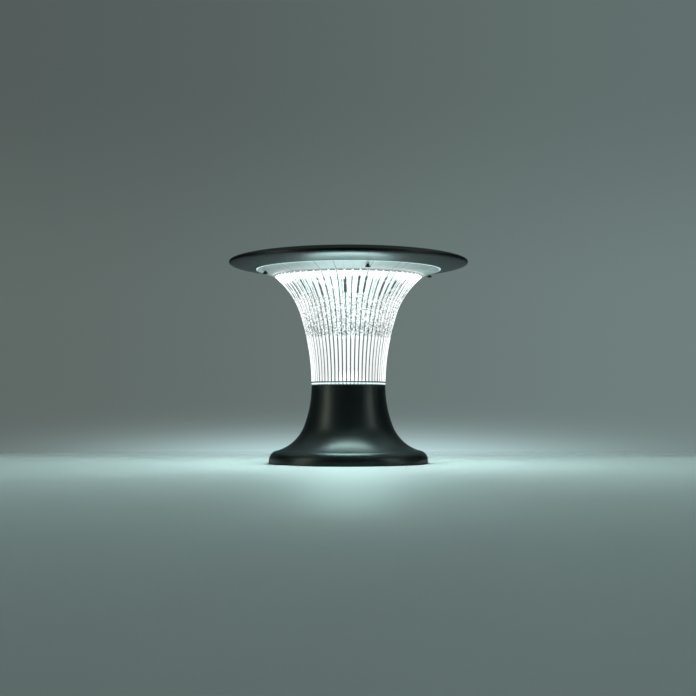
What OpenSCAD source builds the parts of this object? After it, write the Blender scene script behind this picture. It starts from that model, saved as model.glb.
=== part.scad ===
// Solar wall-top light: a cast trumpet base, a clear fluted lens and a round cap with a solar panel.
// Millimetres, +Z up, origin on the wall top in the middle of the base, front towards -Y.
// The lens and the cap turn together on the base by three lugs, and a push button sits under the cap.

/* [Base] */
// Radius of the base where it stands
base_r = 83; // [78:1:95]
// Height of the base, up to the seam under the lens
base_h = 81.5; // [74:0.5:95]
// Radius of the base at the seam
neck_r = 38.6; // [36:0.2:42]
// Radius of the long bend below the seam
base_bend_r = 120; // [100:5:150]
// Turn of the long bend, in degrees
base_bend_turn = 20.4; // [16:0.2:24]
// Radius of the rounded edge of the foot
foot_round = 10.3; // [8:0.1:12]
// Height of the middle of that rounded edge
foot_round_z = 3.3; // [2:0.1:5]
// Wall of the base casting
base_wall = 3; // [2.4:0.1:4]
// Wall left round the straight bore of the neck
neck_wall = 3.2; // [2.8:0.1:4]
// Depth of the straight bore of the neck
neck_bore_depth = 19; // [17:0.5:24]

/* [Mounting plate] */
// Distance from the edge of the foot to the plate that is screwed to the wall
plate_inset = 13; // [12:0.5:20]
// Thickness of the plate
plate_t = 3; // [2:0.5:4]
// Space between the plate and the wall
plate_lift = 1.5; // [1:0.5:2.5]
// Width of the ledge that the plate is screwed to
plate_ledge = 7; // [6:0.5:9]
// Diameter of the circle of wall screw holes
wall_screw_circle = 50; // [40:1:52]
// Number of wall screw holes
wall_screw_count = 4; // [3:1:4]
// Radius of a wall screw hole
wall_screw_hole_r = 2.6; // [2:0.1:3.2]
// Number of screws between plate and base
plate_screw_count = 3; // [3:1:6]
// Width of the foam gasket under the foot
gasket_w = 5; // [3:0.5:6]
// Thickness of the foam gasket
gasket_t = 2; // [1:0.5:3]

/* [Lens] */
// Height of the lens, from the seam to its mouth
lens_h = 114.5; // [100:0.5:130]
// Radius of the long bend above the seam
lens_bend_r = 245; // [220:5:280]
// Turn of the long bend, in degrees
lens_bend_turn = 17.75; // [15:0.25:20]
// How far below the seam that bend starts
lens_bend_drop = 1.2; // [0:0.1:3]
// Wall of the lens under its ribs
lens_wall = 2.6; // [2:0.1:3.5]
// Number of ribs round the lens
rib_count = 60; // [40:2:72]
// Height of a rib
rib_h = 0.9; // [0.6:0.1:1.2]
// Share of the rib spacing that a rib fills, the rest being the groove
rib_share = 0.78; // [0.6:0.02:0.86]
// Height of the plain lip between the seam and the ribs
lip_h = 2.2; // [1.6:0.1:4]
// Distance from the top ends of the ribs to the mouth
rib_stop = 2.4; // [1.5:0.1:5]
// Width of the flange of the lens, from the mouth to its edge
flange_w = 17.4; // [16:0.2:20]
// Thickness of the flange, measured upright
flange_t = 2.4; // [2:0.1:3]
// Rise of the flange from the mouth to its edge
flange_rise = 6; // [4:0.5:8]

/* [Twist lock] */
// Gap between the skirt of the lens and the bore of the neck
skirt_gap = 0.3; // [0.2:0.05:0.5]
// Wall of the skirt
skirt_wall = 2.6; // [2.2:0.1:3]
// Length of the skirt below the seam
skirt_l = 15; // [14:0.5:17]
// Gap of the seam between lens and base
seam_gap = 0.3; // [0.2:0.05:0.6]
// Turn that unlocks the head, in degrees
twist_turn = 25; // [15:1:40]
// Width of a lug, in degrees
lug_turn = 12; // [8:1:16]
// Height of a lug
lug_h = 3; // [2:0.25:4]
// Gap round a lug in its slot
lug_gap = 0.35; // [0.25:0.05:0.5]
// Radius of the round section of the neck seal
neck_seal_r = 0.85; // [0.6:0.05:1.1]

/* [Cap] */
// Radius of the cap
cap_r = 125; // [118:1:135]
// Height of the upright edge of the rim
rim_edge = 1; // [0.6:0.1:2]
// Wall of both cap shells
cap_wall = 2.2; // [1.8:0.1:2.6]
// Distance from the edge of the cap to the edge of the lens flange
flange_inset = 28.6; // [26:0.2:32]
// Gap round the edge of the lens flange
flange_gap = 0.6; // [0.3:0.1:1]
// Thickness of the gasket on the lens flange
flange_seal_t = 1; // [0.6:0.1:1.5]
// Width of the gasket between the cap shells
rim_seal_w = 2.4; // [1.6:0.2:3]
// Thickness of the gasket between the cap shells
rim_seal_t = 1.6; // [1.2:0.2:2]
// Distance from the edge of the flange to the middle of its screws
flange_screw_inset = 8.4; // [7.8:0.2:9.8]
// Radius of a flange screw
flange_screw_r = 1.5; // [1.2:0.1:1.8]
// Radius of a flange screw head
flange_screw_head_r = 2.7; // [2.3:0.1:3]
// Turn from the front to the first flange screw, in degrees
flange_screw_turn = 12.5; // [0:0.5:45]

/* [Solar panel] */
// Width of the sloping rim of the cap, from its edge to the opening for the panel
rim_w = 28; // [25:0.5:31]
// Thickness of the cover glass
glass_t = 3.2; // [2:0.2:4]
// How far the glass lies below the edge of its opening
glass_recess = 0.3; // [0:0.1:1]
// Width of the rubber edge round the glass
glass_seal_w = 3; // [2:0.5:4]
// Thickness of the rubber under the panel
glass_seal_t = 0.8; // [0.5:0.1:1.2]
// Thickness of the panel's back board
back_t = 1.2; // [0.8:0.1:1.6]
// Thickness of a solar cell
cell_t = 0.4; // [0.2:0.1:0.6]
// Thickness of the silver ribbons on the cells
ribbon_t = 0.2; // [0.1:0.1:0.4]
// Width of a ribbon
ribbon_w = 1.4; // [1:0.1:2]
// Distance from the edge of the glass to the cells
cell_margin = 8; // [6:0.5:14]
// Number of rows of cells
cell_rows = 8; // [6:2:10]
// Gap between cells
cell_gap = 1.2; // [0.8:0.1:2]
// Width of the ledge that carries the panel
panel_ledge = 13; // [12:0.5:16]
// Thickness of that ledge
panel_ledge_t = 2; // [1.6:0.1:2.2]
// Space between the ledge and the seat of the lens flange
ledge_gap = 1.7; // [1:0.1:3]

/* [Lamp] */
// Distance from the mouth of the lens to the wall of the white lamp pan
pan_inset = 17; // [16:0.5:19]
// Wall of the pan
pan_wall = 2; // [1.6:0.1:2.4]
// Width of the flange of the pan
pan_flange_w = 10; // [9:0.5:11]
// Number of pan screws
pan_screw_count = 6; // [3:1:8]
// Distance from the wall of the pan to the edge of the lamp board
lamp_board_inset = 8; // [4:0.5:10]
// Thickness of the lamp board
lamp_board_t = 1.6; // [1:0.2:2]
// Number of lamps in the outer ring
outer_lamp_count = 24; // [12:2:30]
// Number of lamps in the inner ring
inner_lamp_count = 10; // [6:1:12]
// Radius of the inner ring of lamps
inner_lamp_ring_r = 18; // [14:1:22]
// Side of a lamp
lamp_side = 3; // [2:0.2:3.6]
// Thickness of a lamp
lamp_t = 0.9; // [0.6:0.1:1.2]

/* [Inner diffuser] */
// Distance of its wall inside the middle between the neck and the edge of the lamp board
diffuser_inset = 12.3; // [11.5:0.1:16]
// Length of the inner diffuser
diffuser_l = 56; // [45:1:60]
// Wall of the inner diffuser
diffuser_wall = 2; // [1.6:0.2:2.6]
// Radius of the round edge at its foot
diffuser_round = 6; // [4:0.5:9]
// Width of its flange
diffuser_flange_w = 6.5; // [6:0.5:8]
// Number of diffuser screws
diffuser_screw_count = 3; // [3:1:6]

/* [Neck reflector] */
// Gap between the neck reflector and the wall of the lens
reflector_gap = 0.5; // [0.3:0.1:1]
// Thickness of the neck reflector
reflector_t = 1.5; // [1:0.1:2]
// Height of the cone in its middle
reflector_cone_h = 14; // [8:1:20]
// Radius of that cone
reflector_cone_r = 24; // [16:1:28]

/* [Battery and board] */
// Diameter of a battery cell
battery_d = 18.2; // [14:0.1:18.4]
// Length of a battery cell
battery_l = 65; // [50:0.5:66]
// Number of battery cells side by side
battery_count = 2; // [1:1:2]
// Wall of the battery tray
tray_wall = 1.6; // [1.2:0.1:2]
// Floor of the battery tray
tray_floor = 1; // [0.8:0.1:1.2]
// Height of the side walls of the tray
tray_h = 10; // [7:0.5:12]
// Distance of the tray from the middle of the pan, towards the front
tray_offset = 14; // [12:0.5:16]
// Width of the battery strap
strap_w = 10; // [8:1:14]
// Thickness of the battery strap
strap_t = 0.8; // [0.5:0.1:1]
// Space between the strap and the back board of the panel
strap_headroom = 1.3; // [1:0.1:2.5]
// Length of the control board
board_l = 56; // [48:1:60]
// Width of the control board
board_w = 26; // [22:1:28]
// Thickness of the control board
board_t = 1.6; // [1:0.2:2]
// Gap between the foot of the strap and the board
board_gap = 0.4; // [0.3:0.1:3]
// Height of the posts under the board
board_post_h = 3; // [2:0.5:5]

/* [Push button] */
// Radius of the button
button_r = 3; // [2.5:0.1:3.5]
// Gap round the button in its guide
button_gap = 0.05; // [0.03:0.01:0.1]
// How far the button stands out
button_out = 1.8; // [1.5:0.1:2.5]
// Travel of the button
button_travel = 1.2; // [0.8:0.1:1.4]
// Radius of the round pad under the cap that holds the button
button_pad_r = 6; // [5.5:0.1:6.2]
// Distance from the recess for the lens flange to the pad of the button
button_margin = 2.5; // [2:0.5:4]
// Side of the switch body
switch_side = 10; // [9.4:0.2:11]
// Space between the switch and the upper shell of the cap
switch_headroom = 0.9; // [0.5:0.1:1.5]

/* [Hidden] */
$fn = 96;
fine = 360;
eps = 0.01;
// How far a cut runs past the face that it goes through, and a post or rib runs into its wall
past = 1;
sunk = 0.4;
screw_hole_slack = 0.2;
pilot_slack = 0.02;

// Radii that follow from the cap inwards: flange, mouth, lamp pan, lamps and diffuser
flange_r = cap_r - flange_inset;
mouth_r = flange_r - flange_w;
pan_r = mouth_r - pan_inset;
lamp_board_r = pan_r - lamp_board_inset;
diffuser_r = (neck_r + lamp_board_r) / 2 - diffuser_inset;
outer_lamp_ring_r = (diffuser_r + diffuser_flange_w + lamp_board_r) / 2;
plate_r = base_r - plate_inset;

// Outline of the base, from the seam down to the crease above the foot
base_centre_1 = [neck_r + base_bend_r, base_h];
base_joint = base_centre_1 - base_bend_r * [cos(base_bend_turn), sin(base_bend_turn)];
foot_centre = [base_r - foot_round, foot_round_z];
crease_turn = 5;
crease = foot_centre + foot_round * [sin(crease_turn), cos(crease_turn)];
base_bend_r_2 = tangent_radius(base_joint, base_centre_1, crease);
base_centre_2 = base_joint + base_bend_r_2 * unit(base_centre_1 - base_joint);
base_end_turn = acos((base_centre_2[0] - crease[0]) / base_bend_r_2);
arc_steps = 12;

// Outline of the lens over its ribs, from below the seam up to the mouth
lens_start = [neck_r, base_h - lens_bend_drop];
mouth_z = base_h + lens_h;
mouth = [mouth_r, mouth_z];
lens_centre_1 = lens_start + [lens_bend_r, 0];
lens_joint = lens_centre_1 + lens_bend_r * [-cos(lens_bend_turn), sin(lens_bend_turn)];
lens_bend_r_2 = tangent_radius(lens_joint, lens_centre_1, mouth);
lens_centre_2 = lens_joint + lens_bend_r_2 * unit(lens_centre_1 - lens_joint);
mouth_turn = asin((mouth_z - lens_centre_2[1]) / lens_bend_r_2);
rib_end_turn = mouth_turn - rib_stop / lens_bend_r_2 * 180 / PI;
lip_z = base_h + seam_gap;
rib_start_z = base_h + lip_h;
rib_start_turn = asin((rib_start_z - lens_start[1]) / lens_bend_r);
lens_skin = rib_h + lens_wall;

// Neck and twist lock
neck_bore_r = neck_r - neck_wall;
neck_bore_z = base_h - neck_bore_depth;
skirt_r = neck_bore_r - skirt_gap;
skirt_inner_r = skirt_r - skirt_wall;
skirt_z = base_h - skirt_l;
lug_rise = 2;
lug_z = skirt_z + lug_rise;
lug_inner_r = skirt_inner_r + lug_gap;
lug_count = 3;
lug_gap_turn = lug_gap / skirt_r * 180 / PI;
neck_seal_drop = 5;
neck_seal_z = base_h - neck_seal_drop;

// Mounting plate and its screws
plate_z = plate_lift;
ledge_z = plate_z + plate_t;
ledge_inner_r = plate_r - plate_ledge;
plate_gap = 0.3;
plate_screw_ring_r = plate_r - plate_ledge / 2;
plate_screw_r = 1.4;
plate_screw_l = 8;
plate_screw_turn = 30;
plate_screw_recess = 0.3;
gasket_margin = 2.5;
gasket_inner_r = plate_r + plate_gap + gasket_margin;
base_hollow_turn = acos((base_centre_2[0] - ledge_inner_r) / (base_bend_r_2 + base_wall));
base_bore_turn = asin(neck_bore_depth / (base_bend_r + base_wall));

// Seat of the lens flange in the cap
flange_edge_z = mouth_z + flange_rise;
flange_slope = flange_rise / flange_w;
recess_r = flange_r + flange_gap;
seat_z = mouth_z + flange_t + flange_seal_t;
seat_edge_z = seat_z + (recess_r - mouth_r) * flange_slope;
flange_seal_inset = 1.5;
soffit_inner_r = pan_r + 2;

// Solar panel, stacked up from the ledge that carries it
panel_opening_r = cap_r - rim_w;
glass_r = panel_opening_r - glass_seal_w;
cell_field_r = glass_r - cell_margin;
panel_ledge_r = panel_opening_r - panel_ledge;
ledge_top_z = seat_edge_z + cap_wall + ledge_gap + panel_ledge_t;
back_z = ledge_top_z + glass_seal_t;
glass_z = back_z + back_t + cell_t + ribbon_t;
opening_z = glass_z + glass_t + glass_recess;
panel_edge_wall = 2.4;
glass_seal_inset = 1;
ribbon_places = [-0.62, -0.22, 0.22, 0.62];
ribbon_reach = 0.96;

// Cap: both of its curves bulge alike, so that they meet the flange and the opening
cap_bulge = (opening_z - flange_edge_z - rim_edge) / (curve_share(flange_r) + curve_share(panel_opening_r));
rim_z = flange_edge_z + cap_bulge * curve_share(flange_r) + rim_edge / 2;
curve_steps = 14;
rim_seal_inset = 3.2;
rim_seal_r = cap_r - rim_seal_inset - rim_seal_w;
rim_inner_r = rim_seal_r - 1.2;

// Flange screws, from the lens flange through the soffit into the crown
flange_screw_ring_r = flange_r - flange_screw_inset;
screw_pad_r = 5;
screw_pad_z = seat_z + (flange_screw_ring_r + screw_pad_r - mouth_r) * flange_slope + cap_wall;
flange_boss_r = 4.6;
flange_boss_h = 1.2;
flange_boss_z = mouth_z + (flange_screw_ring_r - mouth_r) * flange_slope - flange_boss_h;
crown_boss_r = 4;
pilot_end_z = ledge_top_z - 0.8;
flange_screw_head_h = 1.6;
flange_screw_end_z = pilot_end_z - 0.4;
flange_screw_angles = [for (i = [0:3]) flange_screw_turn - 90 + 90 * i];

// Lamp pan, as deep as the battery needs, and what hangs from it
pan_floor_z = back_z - strap_headroom - strap_t - battery_d - tray_floor;
pan_z = pan_floor_z - pan_wall;
pan_flange_r = pan_r + pan_flange_w;
lamp_board_z = pan_z - lamp_board_t;
lamp_z = lamp_board_z - lamp_t;
diffuser_flange_t = 2;
diffuser_top_z = lamp_board_z;
diffuser_z = diffuser_top_z - diffuser_l;
diffuser_screw_ring_r = diffuser_r + diffuser_flange_w / 2;
small_screw_r = 1.1;
small_head_r = 1.9;
small_head_h = 1.2;
pan_screw_inset = 4;
pan_screw_ring_r = soffit_inner_r + pan_screw_inset;

// Neck reflector
reflector_r = neck_r - lens_skin - reflector_gap;

// Battery and board
battery_end_gap = 3;
battery_slack = 0.1;
terminal_r = 3;
terminal_h = 1;
tray_l = battery_l + 2 * tray_wall + battery_end_gap;
tray_w = battery_count * battery_d + (battery_count + 1) * tray_wall;
battery_z = pan_floor_z + tray_floor + battery_d / 2;
battery_pitch = battery_d + tray_wall;
strap_foot = 7;
strap_post_r = 2.6;
strap_pilot_l = 6;
strap_screw_l = 5;
board_offset = tray_w / 2 - tray_offset + strap_foot + board_gap + board_w / 2;
board_z = pan_floor_z + board_post_h;
board_post_r = 2.4;
board_post_inset = 4;
board_post_x = board_l / 2 - board_post_inset;
board_post_y = board_w / 2 - board_post_inset;
chip_side = 8;
chip_h = 1.6;
coil_r = 4.5;
coil_h = 5;
capacitor_r = 3;
capacitor_h = 8;
socket_pitch = 12;
socket_l = 7;
socket_w = 5;
socket_h = 5.5;

// Push button
button_ring_r = recess_r + button_pad_r + button_margin;
pad_step = 0.3;
button_pad_z = soffit_z(button_ring_r - button_pad_r) - pad_step;
button_seat_z = soffit_z(button_ring_r + button_pad_r) + cap_wall + pad_step;
button_collar_r = button_r + 1.2;
button_collar_h = 0.8;
button_collar_gap = 0.2;
stem_r = 1.5;
stem_end_gap = 0.5;
switch_gap = 0.3;
switch_roof = 0.6;
switch_h = crown_z(button_ring_r + switch_side / 2) - cap_wall - switch_headroom - button_seat_z;
switch_room = button_collar_gap + button_collar_h + button_travel + switch_gap;
stem_l = switch_h - switch_roof - stem_end_gap - button_travel - button_collar_gap - button_collar_h;

// Colours
paint = "#1b2624";
clear = [0.86, 0.93, 0.94, 0.5];
white = "#eef2f2";
rubber = "#202020";
steel = "#a9adb0";

function unit(v) = v / norm(v);

// Radius of the arc that leaves point p along the bend about centre c and ends at point q
function tangent_radius(p, c, q) = norm(q - p) * norm(q - p) / (2 * unit(c - p) * (q - p));

// Points along an arc, joined end to end into an outline
function arc_points(c, r, from, to) = [for (i = [0:arc_steps])
    let (a = from + (to - from) * i / arc_steps) c + r * [cos(a), sin(a)]];
function without_repeats(list) = [for (i = [0:len(list) - 1])
    if (i == 0 || norm(list[i] - list[max(i - 1, 0)]) > eps) list[i]];

// Point of the upper bend of the lens at a turn, sunk under the outline by a depth
function lens_point(turn, depth) = lens_centre_2 + (lens_bend_r_2 + depth) * [-cos(turn), sin(turn)];

// Height of the curved underside of the cap, and of its curved top, at radius r
function curve_share(r) = sqrt(1 - pow(r / cap_r, 2));
function soffit_z(r) = rim_z - rim_edge / 2 - cap_bulge * curve_share(r);
function crown_z(r) = rim_z + rim_edge / 2 + cap_bulge * curve_share(r);

// Points on the curve of the cap between two radii, closer together towards the rim
function curve_turn(r) = asin(r / cap_r);
function curve_radius(a, b, i) =
    cap_r * sin(curve_turn(a) + (curve_turn(b) - curve_turn(a)) * i / curve_steps);
function soffit_curve(a, b, up) = [for (i = [0:curve_steps])
    let (r = curve_radius(a, b, i)) [r, soffit_z(r) + up]];
function crown_curve(a, b, up) = [for (i = [0:curve_steps])
    let (r = curve_radius(a, b, i)) [r, crown_z(r) + up]];

// Part of a flat ring about a centre, between two directions less than 90 degrees apart
module ring_part(centre, inner, outer, from, to) {
    reach = outer * 2;
    translate(centre) intersection() {
        difference() {
            circle(outer, $fn = fine);
            circle(inner, $fn = fine);
        }
        polygon([[0, 0], reach * [cos(from), sin(from)], reach * [cos(to), sin(to)]]);
    }
}

// Section between the lens outline sunk by one depth and by another, up to the given turns
module lens_section(depth, skin, start_turn, end_turn) {
    ring_part(lens_centre_1, lens_bend_r + depth, lens_bend_r + depth + skin,
        180 - lens_bend_turn, 180 - start_turn);
    ring_part(lens_centre_2, lens_bend_r_2 + depth, lens_bend_r_2 + depth + skin,
        180 - end_turn, 180 - lens_bend_turn + eps);
}

module flat_ring(inner, outer, low, high) {
    rotate_extrude() translate([inner, low]) square([outer - inner, high - low]);
}

module at_ring(count, ring_r, turn = 0) {
    for (i = [0:count - 1]) rotate([0, 0, turn + 360 * i / count]) translate([ring_r, 0, 0]) children();
}

module at_flange_screws() {
    for (a = flange_screw_angles) rotate([0, 0, a]) translate([flange_screw_ring_r, 0, 0]) children();
}

// A screw whose head sits under z = 0 and whose shank runs up
module screw_up(shank_r, shank_l, head_r, head_h) {
    translate([0, 0, -head_h]) cylinder(r = head_r, h = head_h);
    translate([0, 0, -eps]) cylinder(r = shank_r, h = shank_l + eps);
}

// A screw whose head sits on z = 0 and whose shank runs down
module screw_down(shank_r, shank_l, head_r, head_h) {
    mirror([0, 0, 1]) screw_up(shank_r, shank_l, head_r, head_h);
}

module base_shell() {
    color(paint) difference() {
        union() {
            rotate_extrude() base_solid_section();
            base_lugs();
        }
        translate([0, 0, -eps]) cylinder(r = plate_r + plate_gap, h = ledge_z + eps);
        rotate_extrude() translate([gasket_inner_r, -eps]) square([gasket_w, gasket_t + eps]);
        at_plate_screws() translate([0, 0, ledge_z - eps])
            cylinder(r = plate_screw_r + pilot_slack, h = plate_screw_l - plate_t + past);
    }
}

// Half section of the casting: the flared wall, the neck and the solid foot
module base_solid_section() {
    polygon(without_repeats(concat(
        arc_points(base_centre_1, base_bend_r, 180, 180 + base_bend_turn),
        arc_points(base_centre_2, base_bend_r_2, 180 + base_bend_turn, 180 + base_end_turn),
        arc_points(foot_centre, foot_round, 90 - crease_turn, 0),
        [[base_r, 0], [ledge_inner_r, 0]],
        arc_points(base_centre_2, base_bend_r_2 + base_wall, 180 + base_hollow_turn, 180 + base_bend_turn),
        arc_points(base_centre_1, base_bend_r + base_wall, 180 + base_bend_turn, 180 + base_bore_turn),
        [[neck_bore_r, neck_bore_z], [neck_bore_r, base_h]])));
}

module base_lugs() {
    for (i = [0:lug_count - 1]) rotate([0, 0, 360 / lug_count * i])
        rotate_extrude(angle = lug_turn)
            translate([lug_inner_r, lug_z]) square([neck_bore_r + past - lug_inner_r, lug_h]);
}

module at_plate_screws() {
    at_ring(plate_screw_count, plate_screw_ring_r, plate_screw_turn) children();
}

module mounting_plate() {
    color(steel) difference() {
        translate([0, 0, plate_z]) cylinder(r = plate_r, h = plate_t);
        at_ring(wall_screw_count, wall_screw_circle / 2, 45)
            translate([0, 0, plate_z - past]) cylinder(r = wall_screw_hole_r, h = plate_t + 2 * past);
        at_plate_screws() translate([0, 0, plate_z - past])
            cylinder(r = plate_screw_r + screw_hole_slack, h = plate_t + 2 * past);
    }
}

module plate_screws() {
    color(steel) at_plate_screws() translate([0, 0, plate_z])
        screw_up(plate_screw_r, plate_screw_l, plate_screw_r * 2, plate_lift - plate_screw_recess);
}

module foot_gasket() {
    color(rubber) flat_ring(gasket_inner_r, gasket_inner_r + gasket_w, 0, gasket_t);
}

module lens() {
    color(clear) {
        difference() {
            union() {
                rotate_extrude() lens_wall_section();
                at_flange_screws() screw_pad();
            }
            at_flange_screws() translate([0, 0, flange_boss_z - past])
                cylinder(r = flange_screw_r + screw_hole_slack, h = seat_edge_z + 2 * past - flange_boss_z);
            twist_slots();
        }
        lens_ribs();
    }
}

// Half section of the lens without its ribs: wall, lip, skirt and flange
module lens_wall_section() {
    lens_section(rib_h, lens_wall, rib_start_turn - 0.1, mouth_turn);
    polygon([lens_point(mouth_turn - 1, rib_h + sunk), mouth, [flange_r, flange_edge_z],
        [flange_r, flange_edge_z + flange_t], [mouth_r, mouth_z + flange_t],
        lens_point(mouth_turn, lens_skin), lens_point(mouth_turn - 1, lens_skin - sunk)]);
    translate([skirt_inner_r, lip_z]) square([neck_r - skirt_inner_r, rib_start_z - lip_z]);
    difference() {
        translate([skirt_inner_r, skirt_z]) square([skirt_wall, lip_z - skirt_z + eps]);
        translate([skirt_r - neck_seal_r * 2, neck_seal_z - neck_seal_r])
            square([neck_seal_r * 2 + past, neck_seal_r * 2]);
    }
}

// The ribs: the band between the outline and the wall, cut through at every groove
module lens_ribs() {
    pitch = 360 / rib_count;
    half_groove = pitch * (1 - rib_share) / 2;
    difference() {
        rotate_extrude() lens_section(0, rib_h + sunk, rib_start_turn - 0.1, rib_end_turn);
        translate([0, 0, base_h - past]) linear_extrude(lens_h + 2 * past)
            for (i = [0:rib_count - 1]) rotate(pitch * (i + 0.5)) polygon([
                [0, 0],
                cap_r * [cos(half_groove), -sin(half_groove)],
                cap_r * [cos(half_groove), sin(half_groove)]]);
    }
}

// A flat landing for a screw head on the sloping underside of the flange
module screw_pad() {
    intersection() {
        translate([0, 0, flange_boss_z])
            cylinder(r = flange_boss_r, h = flange_edge_z + flange_t - flange_boss_z);
        translate([-flange_screw_ring_r, 0, 0]) rotate_extrude() polygon([
            [mouth_r, flange_boss_z - past], [flange_r - past, flange_boss_z - past],
            [flange_r - past, flange_edge_z + flange_t / 2], [mouth_r, mouth_z + flange_t / 2]]);
    }
}

// Slots through the skirt: in from its lower edge, then along for the whole twist
module twist_slots() {
    for (i = [0:lug_count - 1]) rotate([0, 0, 360 / lug_count * i]) {
        rotate([0, 0, -twist_turn - lug_gap_turn]) {
            rotate_extrude(angle = lug_turn + twist_turn + 2 * lug_gap_turn)
                translate([skirt_inner_r - past, lug_z - lug_gap])
                    square([skirt_wall + 2 * past, lug_h + 2 * lug_gap]);
            rotate_extrude(angle = lug_turn + 2 * lug_gap_turn)
                translate([skirt_inner_r - past, skirt_z - past])
                    square([skirt_wall + 2 * past, lug_rise + past + eps]);
        }
    }
}

module neck_seal() {
    color(rubber) rotate_extrude()
        translate([skirt_r - neck_seal_r, neck_seal_z]) circle(neck_seal_r, $fn = 48);
}

module neck_reflector() {
    color(white) rotate_extrude() polygon([
        [0, rib_start_z + reflector_cone_h], [reflector_cone_r, rib_start_z + reflector_t],
        [reflector_r, rib_start_z + reflector_t], [reflector_r, rib_start_z],
        [reflector_cone_r, rib_start_z], [0, rib_start_z + reflector_cone_h - 2 * reflector_t]]);
}

module flange_gasket() {
    inner = mouth_r + flange_seal_inset;
    outer = flange_r - flange_seal_inset;
    color(rubber) difference() {
        rotate_extrude() polygon([
            [inner, mouth_z + flange_t + (inner - mouth_r) * flange_slope],
            [outer, mouth_z + flange_t + (outer - mouth_r) * flange_slope],
            [outer, seat_z + (outer - mouth_r) * flange_slope],
            [inner, seat_z + (inner - mouth_r) * flange_slope]]);
        at_flange_screws() translate([0, 0, flange_boss_z])
            cylinder(r = flange_screw_r + 2 * screw_hole_slack, h = ledge_top_z - flange_boss_z);
    }
}

module cap_soffit() {
    color(paint) difference() {
        union() {
            rotate_extrude() soffit_section();
            at_flange_screws() soffit_screw_pad();
            at_button() translate([0, 0, button_pad_z])
                cylinder(r = button_pad_r, h = button_seat_z - button_pad_z);
        }
        at_flange_screws() translate([0, 0, flange_boss_z])
            cylinder(r = flange_screw_r + screw_hole_slack, h = ledge_top_z - flange_boss_z);
        at_ring(pan_screw_count, pan_screw_ring_r) translate([0, 0, seat_z - past])
            cylinder(r = small_screw_r + pilot_slack, h = cap_wall + 2 * past);
        at_button() translate([0, 0, button_pad_z - past])
            cylinder(r = button_r + button_gap, h = button_seat_z - button_pad_z + 2 * past);
    }
}

// Half section of the lower shell: curved skin, seat for the lens flange and flat inner ring
module soffit_section() {
    difference() {
        polygon(concat(
            soffit_curve(recess_r, cap_r, 0),
            [[cap_r, rim_z], [rim_inner_r, rim_z]],
            [[rim_inner_r, soffit_z(rim_inner_r) + cap_wall]],
            soffit_curve_back(recess_r + cap_wall, rim_inner_r, cap_wall),
            [[recess_r + cap_wall, seat_edge_z + cap_wall], [mouth_r, seat_z + cap_wall],
                [soffit_inner_r, seat_z + cap_wall], [soffit_inner_r, seat_z], [mouth_r, seat_z],
                [recess_r, seat_edge_z]]));
        translate([rim_seal_r, rim_z - rim_seal_t / 2]) square([rim_seal_w, rim_seal_t]);
    }
}

function reverse(list) = [for (i = [len(list) - 1:-1:0]) list[i]];
function soffit_curve_back(a, b, up) = [for (p = reverse(soffit_curve(a, b, up))) if (p[0] < b - eps) p];
function crown_curve_back(a, b, up) = reverse(crown_curve(a, b, up));

// A flat pad for the crown's boss on the sloping seat
module soffit_screw_pad() {
    difference() {
        translate([0, 0, seat_z]) cylinder(r = screw_pad_r, h = screw_pad_z - seat_z);
        translate([-flange_screw_ring_r, 0, 0]) rotate_extrude() polygon([
            [soffit_inner_r, seat_z - past], [recess_r, seat_z - past],
            [recess_r, seat_edge_z + cap_wall / 2], [mouth_r, seat_z + cap_wall / 2],
            [soffit_inner_r, seat_z + cap_wall / 2]]);
    }
}

module at_button() {
    translate([0, button_ring_r, 0]) children();
}

module cap_crown() {
    color(paint) difference() {
        union() {
            rotate_extrude() crown_section();
            at_flange_screws() translate([0, 0, screw_pad_z])
                cylinder(r = crown_boss_r, h = ledge_top_z - panel_ledge_t / 2 - screw_pad_z);
        }
        at_flange_screws() translate([0, 0, screw_pad_z - past])
            cylinder(r = flange_screw_r + pilot_slack, h = pilot_end_z - screw_pad_z + past);
    }
}

// Half section of the upper ring: curved skin, wall of the opening and the ledge for the panel
module crown_section() {
    wall_r = panel_opening_r + panel_edge_wall;
    difference() {
        polygon(concat(
            [[cap_r, rim_z]], crown_curve_back(panel_opening_r, cap_r, 0),
            [[panel_opening_r, ledge_top_z], [panel_ledge_r, ledge_top_z],
                [panel_ledge_r, ledge_top_z - panel_ledge_t], [wall_r, ledge_top_z - panel_ledge_t]],
            crown_curve(wall_r, rim_inner_r, -cap_wall),
            [[rim_inner_r, rim_z]]));
        translate([rim_seal_r, rim_z - rim_seal_t / 2]) square([rim_seal_w, rim_seal_t]);
    }
}

module rim_gasket() {
    half = rim_seal_t / 2;
    color(rubber) flat_ring(rim_seal_r, rim_seal_r + rim_seal_w, rim_z - half, rim_z + half);
}

module flange_screws() {
    color(steel) at_flange_screws() translate([0, 0, flange_boss_z])
        screw_up(flange_screw_r, flange_screw_end_z - flange_boss_z,
            flange_screw_head_r, flange_screw_head_h);
}

module glass_seal() {
    color(rubber) rotate_extrude() polygon([
        [panel_ledge_r + glass_seal_inset, ledge_top_z], [panel_opening_r, ledge_top_z],
        [panel_opening_r, opening_z - glass_recess], [glass_r, opening_z - glass_recess],
        [glass_r, back_z], [panel_ledge_r + glass_seal_inset, back_z]]);
}

module cover_glass() {
    color([0.8, 0.88, 0.9, 0.35]) translate([0, 0, glass_z]) cylinder(r = glass_r, h = glass_t);
}

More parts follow.
